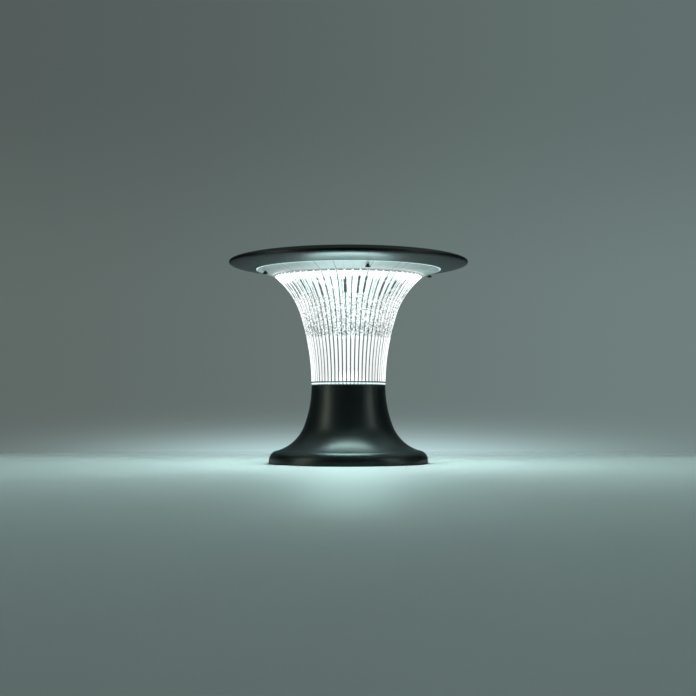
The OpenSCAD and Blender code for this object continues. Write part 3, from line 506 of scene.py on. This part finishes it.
plate_screws = set_out("plate_screw_set", screw_model("plate_screw", 1.4, 8.0, 2.8, 1.2),
                       on_ring(3, 66.5, 1.5, 30), zinc, 3)
fit(plate_screws, zinc, "base", "zinc_steel", "plate_screws")


# Lens: one moulding of clear plastic with 60 round flutes, a plain lip at the seam, a slotted skirt
# that locks on the lugs of the base and a sloping flange that is screwed up into the cap.
lens_bend_1, lens_turn_1, waist_z = 245.0, 17.75, 80.3
rib_count, rib_h, lens_wall = 60.0, 0.9, 2.6
lens_skin = rib_h + lens_wall
lip_z, rib_start_z, rib_end_gap = 81.8, 83.7, 2.4
mouth = Vector((79.0, 196.0))
flange_r, flange_z, flange_t = 96.4, 202.0, 2.4
lens_centre_1 = Vector((neck_r + lens_bend_1, waist_z))
lens_joint = lens_centre_1 + lens_bend_1 * Vector((-cos(radians(lens_turn_1)), sin(radians(lens_turn_1))))
lens_bend_2 = tangent_radius(lens_joint, lens_centre_1, mouth)
lens_centre_2 = lens_joint + lens_bend_2 * unit(lens_centre_1 - lens_joint)
mouth_turn = degrees(asin((mouth.y - lens_centre_2.y) / lens_bend_2))
rib_start_turn = degrees(asin((rib_start_z - waist_z) / lens_bend_1))
rib_end_turn = mouth_turn - degrees(rib_end_gap / lens_bend_2)
skirt_r, skirt_inner_r, skirt_z = 35.1, 32.5, 66.5
slot_low, slot_high, twist_turn = 68.15, 71.85, 25
seal_r, seal_z = 0.85, 76.5
seal_room_r, seal_low, seal_high = skirt_r - 2 * seal_r, seal_z - seal_r, seal_z + seal_r


def lens_point(turn, depth):
    """Point of the lens outline at a turn in degrees, sunk under it by a depth."""
    centre, r = (lens_centre_1, lens_bend_1) if turn < lens_turn_1 else (lens_centre_2, lens_bend_2)
    return (centre.x - (r + depth) * cos(radians(turn)), centre.y + (r + depth) * sin(radians(turn)))


def evenly(start, end, steps):
    """Numbers from start to end, both included."""
    return [start + (end - start) * i / steps for i in range(steps + 1)]


wall_turns = evenly(rib_start_turn, rib_end_turn, 46)
wall_outline = [lens_point(t, rib_h) for t in wall_turns]
lens_outline = (
    [(skirt_inner_r, slot_high), (skirt_r, slot_high), (skirt_r, seal_low), (seal_room_r, seal_low),
     (seal_room_r, seal_high), (skirt_r, seal_high), (skirt_r, lip_z)]
    + eased([(skirt_r, lip_z, 0), (neck_r, lip_z, 0.25), (neck_r, rib_start_z, 0.2),
             (wall_outline[0][0], rib_start_z, 0)])[1:-1]
    + wall_outline
    + eased([lens_point(mouth_turn - 0.8, rib_h) + (0,), (mouth.x, mouth.y, 0.3),
             (flange_r, flange_z, 0.25), (flange_r, flange_z + flange_t, 0.25),
             (mouth.x, mouth.y + flange_t, 0)])
    + [lens_point(t - 0.01, lens_skin) for t in evenly(mouth_turn, rib_start_turn, 30)]
    + [(skirt_r, rib_start_z), (skirt_inner_r, rib_start_z)])


def skirt_part(top_z):
    return [(skirt_inner_r, skirt_z), (skirt_r, skirt_z), (skirt_r, top_z), (skirt_inner_r, top_z)]


slot_gap = degrees(0.35 / skirt_r)
skirt_parts = []
for i in range(3):
    slot_start = 120 * i - twist_turn - slot_gap
    entry_end = slot_start + lug_turn + 2 * slot_gap
    slot_end = entry_end + twist_turn
    skirt_parts.append((skirt_part(slot_low), entry_end, slot_end))
    skirt_parts.append((skirt_part(slot_high), slot_end, slot_start + 120))
lens = turned("fluted_lens", [lens_outline] + skirt_parts, 720, 40)

# Each point of the ribbed wall is marked with 1 under rise, and its way outwards under away. The nodes
# lift the marked points to 60 round flutes.
rise = lens.data.attributes.new("rise", "FLOAT", "POINT")
away = lens.data.attributes.new("away", "FLOAT_VECTOR", "POINT")
heights = {round(z, 3): t for (r, z), t in zip(wall_outline, wall_turns)}
for v in lens.data.vertices:
    r, z = Vector(v.co.xy).length * 1000, v.co.z * 1000
    t = heights.get(round(z, 3))
    if t is not None and abs(r - lens_point(t, rib_h)[0]) < 0.01:
        a = atan2(v.co.y, v.co.x)
        rise.data[v.index].value = 1.0
        away.data[v.index].vector = (cos(radians(t)) * cos(a), cos(radians(t)) * sin(a), -sin(radians(t)))

tree, given = shape_tree("flutes", {
    "Rib count": ("NodeSocketFloat", rib_count), "Rib height": ("NodeSocketFloat", rib_h / 1000),
    "Rib share": ("NodeSocketFloat", 0.9), "Material": ("NodeSocketMaterial", None)})
place = tree.node("ShaderNodeSeparateXYZ", None, {0: tree.node("GeometryNodeInputPosition")})
round_turn = place.out("Y").maths("ARCTAN2", place.out("Y"), place.out("X")) / (2 * pi)
across = ((round_turn * given["Rib count"] + 0.5).one("FRACT") * 2 - 1).one("ABSOLUTE")
bulge = 1 - (across / given["Rib share"]) ** 2.0
bulge = bulge.maths("MAXIMUM", bulge, 0.0)
marked = tree.node("GeometryNodeInputNamedAttribute", None, {"Name": "rise"})
lift = marked * bulge ** 0.5 * given["Rib height"]
lean = tree.node("GeometryNodeInputNamedAttribute", {"data_type": "FLOAT_VECTOR"}, {"Name": "away"})
offset = tree.node("ShaderNodeVectorMath", {"operation": "SCALE"}, {0: lean, "Scale": lift})
fluted = tree.node("GeometryNodeSetPosition", None, {"Geometry": given["Geometry"], "Offset": offset})
fluted = tree.node("GeometryNodeStoreNamedAttribute", {"domain": "POINT"},
                   {"Geometry": fluted, "Name": "across", "Value": across})
fluted = tree.node("GeometryNodeRealizeInstances", None, {"Geometry": fluted})
fluted = tree.node("GeometryNodeSetMaterial", None, {"Geometry": fluted, "Material": given["Material"]})

# The lit plastic, whose glow stands for the light of the lamps inside and whose marks are painted
# light and shade. Heights and radii are in millimetres, and off_groove is the way from the nearest
# groove between two ribs. From the mouth down it has a bare band with a few painted groove lines, a
# band of long dark lines painted for the dark surroundings seen through the flutes, the speckled band
# painted for the hammered diffuser seen through the lens and a band of even bars with painted dark
# grooves.
lit_plastic, inner = finish("lit_clear_plastic")
where = inner.axes()
up = where.out("Z") * 1000.0
out_r = (where.out("X") ** 2.0 + where.out("Y") ** 2.0) ** 0.5 * 1000.0
ribs_round = where.out("Y").maths("ARCTAN2", where.out("Y"), where.out("X")) * (rib_count / (2 * pi))
groove_id, rib_id = ribs_round.one("FLOOR"), (ribs_round + 0.5).one("FLOOR")


def luck(number):
    """A number from 0 to 1 for each groove or rib."""
    return inner.node("ShaderNodeTexWhiteNoise", {"noise_dimensions": "1D"}, {"W": number})


end_luck, top_luck, long_luck = [luck(groove_id + n) for n in (0.5, 500.5, 900.5)]
rib_luck = luck(rib_id + 0.2)
wave = inner.grain(750.0, 2.0, 0.7) - 0.5
along = inner.node("ShaderNodeCombineXYZ", None, {0: groove_id * 7.3, 1: up * 0.16})
patch = inner.grain(1.0, 3.0, 0.6, where=along)
ribbed = inner.node("ShaderNodeAttribute", {"attribute_name": "rise"}, out="Fac").above(0.4, 0.6)
across_here = inner.node("ShaderNodeAttribute", {"attribute_name": "across"}, out="Fac")
off_groove = (1 - across_here) * out_r * (pi / rib_count)

top_share = (up + 4.0 * rib_luck).above(189.0, 190.5)
lined = (up - 8.0 * end_luck).above(168.0, 170.0)
line_share = lined * (1 - top_share)
bar_share = up.above(132.5, 129.5)
speck_share = (1 - lined) * (1 - bar_share)
# top_line, long_line, rib_line, bar_line and speck are painted refraction: dark lines and specks where the
# flutes show the dark surroundings and the hammered diffuser.
top_line = off_groove.above(0.55, 0.15) * (0.20 + 0.72 * top_luck.above(0.52, 0.60))
long_line = (off_groove + 1.2 * wave + 1.0 * long_luck).above(2.0, 1.3)
long_line = long_line * (0.25 + 0.75 * patch.above(0.32, 0.46))
rib_line = (across_here + 0.5 * wave).above(0.26, 0.10) * rib_luck.above(0.35, 0.5)
rib_line = rib_line * (0.3 + 0.7 * patch.above(0.40, 0.52))
long_line = long_line.maths("MAXIMUM", long_line, 0.85 * rib_line)
hammer = inner.grain(1000.0, 1.0, stretch=(1.0, 1.0, 0.6)) + 0.05 * up.above(150.0, 138.0)
speck = (off_groove + 2.2 * wave).above(0.75, 0.35) * (0.25 + 0.75 * patch.above(0.36, 0.5))
speck = speck + 0.7 * hammer.above(0.52, 0.60)
bar_line = off_groove.above(0.85, 0.35)
# Painted shade: dark sums these painted lines and specks.
dark = top_line * top_share + long_line * line_share + bar_line * bar_share + 0.9 * speck * speck_share
# Painted shadow: dark dashes where the ribs end under the flange and over the lip.
upper_end_shadow = up.above(194.3, 194.6) * off_groove.above(0.9, 1.2)
lower_end_shadow = up.above(85.3, 84.9) * across_here.above(0.80, 0.65)
rib_end = upper_end_shadow + lower_end_shadow
teal = long_luck.above(0.58, 0.66) * line_share
tint = inner.blend(teal, rgb(0.30, 0.34, 0.37), rgb(0.06, 0.42, 0.36))
glow = inner.blend(dark, rgb(0.98, 1.0, 0.99), tint)
shine = (1 - (0.92 - 0.20 * teal) * dark) * (1 - 0.95 * rib_end) * ribbed
glow = inner.node("ShaderNodeVectorMath", {"operation": "SCALE"}, {0: glow, "Scale": shine})
# Painted highlight: a bright line on the outer edge of the flange; lip_light is a painted bright band of the
# glow on the lip.
painted_edge_highlight = out_r.above(95.6, 96.2) * up.above(200.0, 201.0)
lip_light = up.above(84.0, 83.8) * up.above(82.3, 82.7)
plain = (1 - ribbed) * (0.02 + 0.04 * up.above(193.0, 196.0) + 0.75 * painted_edge_highlight + 0.8 * lip_light)
plain = inner.node("ShaderNodeVectorMath", {"operation": "SCALE"}, {0: (0.80, 1.0, 1.0), "Scale": plain})
light = inner.node("ShaderNodeVectorMath", {"operation": "ADD"}, {0: glow, 1: plain})
# The base colour is darkened along the same painted lines and painted shadows.
painted_line_shade = dark + rib_end * ribbed
painted_shade_tint = inner.blend(painted_line_shade.maths("MINIMUM", painted_line_shade, 1.0), rgb(0.48, 0.53, 0.53), rgb(0.02, 0.03, 0.03))
cover(inner, {"Base Color": painted_shade_tint, "Roughness": 0.04 + 0.45 * (1 - ribbed) * out_r.above(78.0, 80.5),
              "IOR": 1.49, "Transmission Weight": 1.0, "Emission Color": light, "Emission Strength": 0.8,
              "Normal": inner.dents(inner.grain(240.0, 2.0), 0.15, 0.08)})
lens = shaped(lens, tree, fluted, {"Rib count": rib_count, "Rib height": rib_h / 1000, "Rib share": 0.92,
                                   "Material": lit_plastic})
lens.data.attributes.remove(lens.data.attributes["away"])
fit(lens, lit_plastic, "head", "clear_lens", "lens")
lens.visible_shadow = lens.visible_diffuse = False

# What the base, the cap and the floor mirror of the lit lens: a bright skin just outside it, which is
# part of the studio and shows only in reflections.
skin, skin_steps = [lens_point(t, -0.5) for t in wall_turns[::3]], 96
skin_faces = []
for k in range(len(skin) - 1):
    for i in range(skin_steps):
        low, low_next = skin_steps * k + i, skin_steps * k + (i + 1) % skin_steps
        skin_faces.append((low, low_next, low_next + skin_steps, low + skin_steps))
mesh = bpy.data.meshes.new("lens_gleam")
mesh.from_pydata([spun(r, 2 * pi * i / skin_steps, z) for r, z in skin for i in range(skin_steps)], [],
                 skin_faces)
gleam = placed("lens_gleam", mesh)
gleam_finish, tree = finish("mirrored_light")
fade = tree.axes().out("Z").above(0.172, 0.138)
lit = tree.node("ShaderNodeEmission", None, {"Color": rgb(0.66, 1.0, 0.98), "Strength": 18.0 * fade})
tree.close(tree.veiled(tree.node("ShaderNodeNewGeometry", out="Backfacing"), lit))
mesh.materials.append(gleam_finish)
gleam.visible_camera = gleam.visible_diffuse = gleam.visible_transmission = gleam.visible_shadow = False

rubber, tree = finish("black_rubber")
mould = tree.grain(700.0, 3.0)
cover(tree, {"Base Color": tree.blend(mould, rgb(0.012, 0.012, 0.013), rgb(0.028, 0.028, 0.029)),
             "Roughness": 0.55 + 0.2 * mould, "Normal": tree.dents(mould, 0.3, 0.05)})
dress("neck_seal", rubber)


# Neck reflector: a thin white moulding with a low cone, which lies on the lip inside the lens and
# throws the light outwards. Its white finish, used for the pan and the panel back too, has a faint
# painted glow, as if lit by the lamps.
white, tree = finish("white_moulding_painted_glow")
dust = tree.grain(60.0, 4.0)
cover(tree, {"Base Color": tree.blend(dust, rgb(0.78, 0.81, 0.81), rgb(0.86, 0.89, 0.89)),
             "Roughness": 0.28 + 0.1 * dust, "Emission Color": rgb(0.88, 1.0, 1.0), "Emission Strength": 0.3,
             "Normal": tree.dents(tree.grain(900.0), 0.1, 0.03)})
disc_r, cone_r, disc_z, disc_t, cone_h = 34.6, 24.0, 83.7, 1.5, 12.5
disc_top_z, cone_z = disc_z + disc_t, disc_z + 11.0
reflector = turned("neck_reflector_disc", [eased([
    (0, disc_top_z + cone_h, 0), (cone_r, disc_top_z, 2.0), (disc_r, disc_top_z, 0.3),
    (disc_r, disc_z, 0.3), (cone_r, disc_z, 1.0), (0, cone_z, 0)])], 128)
fit(reflector, white, "head", "white_plastic", "neck_reflector")


# Lower shell of the cap: a shallow dish of moulded plastic in the dark paint of the base, with the
# recess for the flange of the lens in its middle and a small pad for the push button at the back.
cap_r, cap_bulge, rim_z, rim_edge, cap_wall = 125.0, 11.5258, 209.837, 1.0, 2.2
recess_r, seat_z, seat_edge_z, seat_inner_r = 97.0, 199.4, 205.607, 64.0
rim_seal_r, half_seal, rim_inner_r = 119.4, 0.8, 118.2
rim_seal_end_r = rim_seal_r + 2.4
button_y, pad_r, pad_z, pad_top_z = 105.5, 6.0, 202.061, 206.627


def curve_share(r):
    return sqrt(max(0.0, 1 - (r / cap_r) ** 2))


def soffit_z(r):
    return rim_z - rim_edge / 2 - cap_bulge * curve_share(r)


def crown_z(r):
    return rim_z + rim_edge / 2 + cap_bulge * curve_share(r)


def cap_curve(height_at, start, end, up, steps=24):
    """Points on a curve of the cap between two radii, closer together towards the rim."""
    radii = [cap_r * sin(t) for t in evenly(asin(start / cap_r), asin(end / cap_r), steps)]
    return [(r, height_at(r) + up) for r in radii]


soffit_outline = (
    cap_curve(soffit_z, recess_r + 0.3, cap_r, 0, 32)
    + [(cap_r, rim_z), (rim_seal_end_r, rim_z), (rim_seal_end_r, rim_z - half_seal),
       (rim_seal_r, rim_z - half_seal), (rim_seal_r, rim_z), (rim_inner_r, rim_z)]
    + cap_curve(soffit_z, rim_inner_r, recess_r + cap_wall, cap_wall)
    + [(recess_r + cap_wall, seat_edge_z + cap_wall), (mouth.x, seat_z + cap_wall),
       (seat_inner_r, seat_z + cap_wall), (seat_inner_r, seat_z), (mouth.x, seat_z),
       (recess_r, seat_edge_z), (recess_r, soffit_z(recess_r) + 0.35),
       (recess_r + 0.1, soffit_z(recess_r) + 0.1)])
soffit = turned("cap_underside", [soffit_outline], 360)


def moved(piece, x, y):
    """A piece with its mesh moved level from the axis, in millimetres."""
    piece.data.transform(Matrix.Translation((x / 1000, y / 1000, 0)))
    return piece


def joined(piece, others):
    """One piece of several that touch."""
    form = bmesh.new()
    for part in [piece, *others]:
        form.from_mesh(part.data)
    form.to_mesh(piece.data)
    form.free()
    piece.data.set_sharp_from_angle(angle=radians(32))
    for part in others:
        bpy.data.objects.remove(part)
    return piece


guide_r = 3.05
pad_outline = eased([
    (guide_r, pad_z, 0.2), (pad_r, pad_z, 0.5), (pad_r, pad_top_z, 0), (guide_r, pad_top_z, 0)])
soffit = joined(soffit, [moved(turned("pad", [pad_outline], 64), 0, button_y)])
cap_paint, tree = finish("green_black_cap_paint")
peel = tree.grain(700.0, 2.0)
cloud = tree.grain(18.0, 3.0)
cover(tree, {"Base Color": tree.blend(cloud, rgb(0.0030, 0.0090, 0.0095), rgb(0.0050, 0.0130, 0.0128)),
             "Roughness": 0.38 + 0.08 * cloud, "Specular IOR Level": 0.35,
             "Normal": tree.dents(peel, 0.12, 0.03)})
fit(soffit, cap_paint, "head", "cap_paint", "cap_soffit")


# Upper ring of the cap, whose sloping rim carries rain off past the panel. Its opening ends in a
# ledge with four bosses for the flange screws, and a rubber ring lies between the two shells.
opening_r, ledge_in_r, ledge_top_z, ledge_t, opening_wall = 97.0, 84.0, 211.507, 2.0, 2.4
slope_end_r = opening_r + 0.8
crown_outline = (
    [(cap_r, rim_z), (cap_r, rim_z + rim_edge / 2 - 0.15)]
    + cap_curve(crown_z, cap_r - 0.12, slope_end_r, 0, 32)
    + eased([(slope_end_r, crown_z(slope_end_r), 0), (opening_r, crown_z(opening_r) - 0.02, 0.35),
             (opening_r, ledge_top_z, 0)])[1:]
    + [(ledge_in_r, ledge_top_z), (ledge_in_r, ledge_top_z - ledge_t),
       (opening_r + opening_wall, ledge_top_z - ledge_t)]
    + cap_curve(crown_z, opening_r + opening_wall, rim_inner_r, -cap_wall)
    + [(rim_inner_r, rim_z), (rim_seal_r, rim_z), (rim_seal_r, rim_z + half_seal),
       (rim_seal_end_r, rim_z + half_seal), (rim_seal_end_r, rim_z)])
crown = turned("cap_rim", [crown_outline], 360)
screw_head_z, screw_end_z = 197.903, 210.307
screw_places = on_ring(4, 88.0, screw_head_z, 12.5 - 90)
pilot_r, boss_r, boss_z, boss_top_z = 1.52, 4.0, 206.428, ledge_top_z - 1.0
boss_outline = [(pilot_r, boss_z), (boss_r, boss_z), (boss_r, boss_top_z), (pilot_r, boss_top_z)]
crown = joined(crown, [moved(turned("boss", [boss_outline], 32), x, y) for x, y, z in screw_places])
fit(crown, cap_paint, "head", "cap_paint", "cap_crown")
dress("rim_gasket", rubber)

# The pale silicone has a faint painted glow, as if lit by the lamps through the lens.
silicone, tree = finish("pale_silicone_painted_glow")
haze = tree.grain(90.0, 3.0)
cover(tree, {"Base Color": tree.blend(haze, rgb(0.60, 0.68, 0.68), rgb(0.72, 0.79, 0.79)), "Roughness": 0.45,
             "Emission Color": rgb(0.80, 1.0, 1.0), "Emission Strength": 0.05,
             "Normal": tree.dents(haze, 0.2, 0.05)})
dress("flange_gasket", silicone)


# Four screws with black zinc plating that hold the flange of the lens and both shells together,
# driven from below.
black_zinc, tree = finish("black_zinc_plate")
haze = tree.grain(900.0, 3.0)
cover(tree, {"Base Color": tree.blend(haze, rgb(0.018, 0.022, 0.022), rgb(0.040, 0.046, 0.046)),
             "Metallic": 0.7, "Roughness": 0.34 + 0.16 * haze, "Normal": tree.dents(haze, 0.2, 0.03)})
flange_screw = screw_model("flange_screw", 1.5, screw_end_z - screw_head_z, 2.7, 1.6)
flange_screw_set = set_out("flange_screw_set", flange_screw, screw_places, black_zinc, 5)
fit(flange_screw_set, black_zinc, "head", "zinc_steel", "flange_screws")


# Lamp pan: a white moulding that hangs in the mouth of the lens and carries battery and board above
# and the lamps below. Six screws hold it to the lower shell.
dress("lamp_pan", white)
small_screw = screw_model("small_screw", 1.1, 5.0, 1.9, 1.2)
pan_screw_set = set_out("pan_screw_set", small_screw, on_ring(6, 68.0, 197.4), zinc, 7)
fit(pan_screw_set, zinc, "head", "zinc_steel", "pan_screws")

# The white board has a faint painted glow, as if lit by its lamps; the tracks are its real pattern.
board_white, tree = finish("white_lamp_board_painted_glow")
axes = tree.axes()
ring_r = (axes.out("X") ** 2.0 + axes.out("Y") ** 2.0) ** 0.5 * 1000.0
inner_track, outer_track = [(ring_r - r).one("ABSOLUTE").above(0.9, 0.6) for r in (43.5, 50.5)]
track = (inner_track + outer_track) * 0.5
cover(tree, {"Base Color": tree.blend(track, rgb(0.80, 0.84, 0.82), rgb(0.62, 0.68, 0.64)),
             "Roughness": 0.35, "Emission Color": rgb(0.88, 1.0, 1.0), "Emission Strength": 0.3,
             "Normal": tree.dents(track + tree.grain(500.0) * 0.3, 0.3, 0.05)})
dress("lamp_board", board_white)


# Lamps: 35 small lamp packages soldered under the board, each a pale body with a yellow window. One
# sits in the middle, and the others in two rings round it.
lamp_side, lamp_t, lamp_z = 3.0, 0.9, 187.407


def lamp_model():
    """One lamp package under z = 0. Its points inside the window have 1 under window."""
    form = bmesh.new()
    half = lamp_side / 2
    levels = [(half, 0.0), (half, -lamp_t + 0.15), (half - 0.15, -lamp_t), (half - 0.45, -lamp_t),
              (half - 0.6, -lamp_t + 0.2)]
    rings = []
    for size, z in levels:
        rings.append([form.verts.new((x * size / 1000, y * size / 1000, z / 1000))
                      for x, y in ((-1, -1), (1, -1), (1, 1), (-1, 1))])
    for low, high in zip(rings, rings[1:]):
        for k in range(4):
            form.faces.new((low[k], low[(k + 1) % 4], high[(k + 1) % 4], high[k]))
    form.faces.new(rings[0])
    form.faces.new(rings[-1])
    mesh = mesh_of(form, "lamp_package")
    window = mesh.attributes.new("window", "FLOAT", "POINT")
    for v in mesh.vertices:
        window.data[v.index].value = 1.0 if max(abs(v.co.x), abs(v.co.y)) < (half - 0.5) / 1000 else 0.0
    return bpy.data.objects.new("lamp_package", mesh)


lamp_finish, tree = finish("lamp_package")
window = tree.node("ShaderNodeAttribute", {"attribute_name": "window"}, out="Fac")
cover(tree, {"Base Color": tree.blend(window, rgb(0.85, 0.86, 0.84), rgb(0.95, 0.80, 0.25)),
             "Roughness": 0.35, "Emission Strength": 3.0,
             "Emission Color": tree.blend(window, rgb(0.12, 0.14, 0.14), rgb(0.92, 1.0, 1.0))})
lamp_places = [(0, 0, lamp_z)] + on_ring(24, 47.25, lamp_z) + on_ring(10, 18.0, lamp_z)
lamp_set = set_out("lamp_set", lamp_model(), lamp_places, lamp_finish, 2, free_turn=False)
fit(lamp_set, lamp_finish, "head", "lamp", "lamps")


# Inner diffuser: a clear plastic cup with a hammered skin, which spreads the light of the inner
# lamps. Three screws hold its flange and the lamp board to the pan.
cup_r, cup_wall, cup_low_z, cup_round, cup_flange_r = 34.0, 2.0, 131.407, 6.0, 40.5
cup_flange_z, cup_top_z = lamp_z - cup_wall, lamp_z - 0.02
cup_outline = eased([
    (0, cup_low_z, 0), (cup_r, cup_low_z, cup_round), (cup_r, cup_flange_z, 0.8),
    (cup_flange_r, cup_flange_z, 0.3), (cup_flange_r, cup_top_z, 0), (cup_r - cup_wall, cup_top_z, 0),
    (cup_r - cup_wall, cup_low_z + cup_wall, cup_round - cup_wall), (0, cup_low_z + cup_wall, 0)], 8)
cup = turned("hammered_cup", [cup_outline], 192)
hammered, tree = finish("hammered_clear_plastic")
beads = tree.node("ShaderNodeTexVoronoi", None, {"Vector": tree.where(), "Scale": 620.0, "Randomness": 0.9})
# The glow stands for the light of the inner lamps; shade is painted shade between the hammered beads.
shade = beads.above(0.35, 0.75)
cover(tree, {"Base Color": rgb(0.88, 0.94, 0.95), "Roughness": 0.25,
             "Emission Color": tree.blend(shade, rgb(0.95, 1.0, 1.0), rgb(0.22, 0.30, 0.31)),
             "Emission Strength": 0.8, "Normal": tree.dents(1 - beads, 0.8, 0.3)})
fit(cup, hammered, "head", "textured_clear", "inner_diffuser")
cup.visible_shadow = False
cup_screws = set_out("cup_screw_set", small_screw, on_ring(3, 37.25, cup_flange_z, 90), zinc, 9)
fit(cup_screws, zinc, "head", "zinc_steel", "diffuser_screws")


# Battery, strap and control board, which lie in the pan under the panel: two shrink-wrapped cells in
# a black tray under a steel strap, and a green board on four posts.
dark_plastic, tree = finish("black_moulding")
texture = tree.grain(1100.0, 2.0)
cover(tree, {"Base Color": tree.blend(texture, rgb(0.018, 0.019, 0.021), rgb(0.034, 0.036, 0.039)),
             "Roughness": 0.45 + 0.12 * texture, "Normal": tree.dents(texture, 0.3, 0.05)})
for name in ("battery_tray", "board_parts", "switch_body"):
    dress(name, dark_plastic)

wrap, tree = finish("battery_wrap")
end_band = (tree.axes().out("X") * 1000.0).one("ABSOLUTE").above(30.5, 31.2)
crinkle = tree.grain(140.0, 3.0, stretch=(1.0, 3.0, 3.0))
cover(tree, {"Base Color": tree.blend(end_band, rgb(0.02, 0.16, 0.08), rgb(0.55, 0.57, 0.58)),
             "Metallic": end_band, "Roughness": 0.30 + 0.15 * crinkle, "Coat Weight": 0.3,
             "Normal": tree.dents(crinkle, 0.3, 0.1)})
dress("battery_cells", wrap)
dress("battery_strap", zinc)
pan_floor_z, tray_h, strap_t, tray_y, strap_foot_y = 191.007, 10, 0.8, -14, 24.1
strap_top_z = pan_floor_z + tray_h + strap_t
strap_feet = [(0, tray_y - strap_foot_y, strap_top_z), (0, tray_y + strap_foot_y, strap_top_z)]
strap_screws = set_out("strap_screw_set", small_screw, strap_feet, zinc, 11, upside_down=True)
fit(strap_screws, zinc, "head", "zinc_steel", "strap_screws")

green_board, tree = finish("green_circuit_board")
weave = tree.node("ShaderNodeTexBrick", None, {
    "Vector": tree.where(), "Scale": 300.0, "Color1": rgb(0.012, 0.11, 0.05),
    "Color2": rgb(0.016, 0.14, 0.065), "Mortar": rgb(0.02, 0.19, 0.09)})
cover(tree, {"Base Color": weave, "Roughness": 0.3, "Coat Weight": 0.3,
             "Normal": tree.dents(weave.out("Fac"), 0.3, 0.04)})
dress("control_board", green_board)
board_y, board_z, board_t = 27, pan_floor_z + 3, 1.6
board_holes = [(x * 24, board_y + y * 9, board_z + board_t) for x in (-1, 1) for y in (-1, 1)]
board_screw = screw_model("board_screw", 1.1, 3.6, 1.9, 1.2)
board_screws = set_out("board_screw_set", board_screw, board_holes, zinc, 13, upside_down=True)
fit(board_screws, zinc, "head", "zinc_steel", "board_screws")


# Solar panel: sixteen dark cells with fine silver fingers under thick glass, on a white back board,
# held by a black rubber edge in the opening of the cap.
dress("panel_back", white)
dress("glass_seal", rubber)
cell, tree = finish("solar_cell")
finger_pitch = 1.6
finger = ((tree.axes().out("Y") * 1000.0 / finger_pitch).one("FRACT") - 0.5).one("ABSOLUTE").above(0.05, 0.03)
crystal = tree.node("ShaderNodeTexVoronoi", None, {"Vector": tree.where(), "Scale": 90.0}, out="Color")
crystal = tree.node("ShaderNodeSeparateColor", None, {0: crystal})
dark_blue = tree.blend(crystal, rgb(0.004, 0.008, 0.032), rgb(0.008, 0.020, 0.085))
cover(tree, {"Base Color": tree.blend(finger, dark_blue, rgb(0.55, 0.58, 0.60)),
             "Roughness": 0.28 + 0.1 * crystal, "Metallic": 0.5 * finger, "Coat Weight": 0.4,
             "Normal": tree.dents(finger, 0.3, 0.03)})
dress("solar_cells", cell)
tinned, tree = finish("tinned_ribbon")
rub = tree.grain(500.0, 3.0, stretch=(6.0, 0.4, 1.0))
cover(tree, {"Base Color": tree.blend(rub, rgb(0.60, 0.61, 0.62), rgb(0.80, 0.81, 0.82)), "Metallic": 1.0,
             "Roughness": 0.28 + 0.2 * rub, "Normal": tree.dents(rub, 0.2, 0.02)})
dress("cell_ribbons", tinned)

glass_r, glass_z, glass_t = 93.9, 214.107, 3.2
glass = turned("panel_glass", [eased([
    (0, glass_z, 0), (glass_r, glass_z, 0.2), (glass_r, glass_z + glass_t, 0.5),
    (0, glass_z + glass_t, 0)])], 240)
clear_glass, tree = finish("panel_glass")
smear = tree.grain(14.0, 4.0)
cover(tree, {"Base Color": rgb(0.93, 0.98, 0.97), "Roughness": 0.02 + 0.05 * smear.above(0.5, 0.8),
             "IOR": 1.5, "Transmission Weight": 1.0,
             "Normal": tree.dents(tree.grain(60.0, 1.0), 0.05, 0.05)})
fit(glass, clear_glass, "head", "glass", "cover_glass")
glass.visible_shadow = False


# Push button: a soft rubber cap in the pad under the rim, at the back. It moves 1.2 mm and its stem
# works the switch inside the cap.
button_r, collar_r, stem_r = 3.0, 4.2, 1.5
button_z, collar_z = pad_z - 1.8, pad_top_z + 0.2
collar_top_z, stem_top_z = collar_z + 0.8, collar_z + 3.49
button = turned("rubber_button", [eased([
    (0, button_z + 0.25, 0), (2.0, button_z + 0.1, 1.0), (2.3, button_z, 0.3), (button_r, button_z, 0.5),
    (button_r, collar_z, 0), (collar_r, collar_z, 0.1), (collar_r, collar_top_z, 0.1),
    (stem_r, collar_top_z, 0), (stem_r, stem_top_z, 0.2), (0, stem_top_z, 0)])], 64)
moved(button, 0, button_y)
fit(button, rubber, "button", "rubber", "push_button")
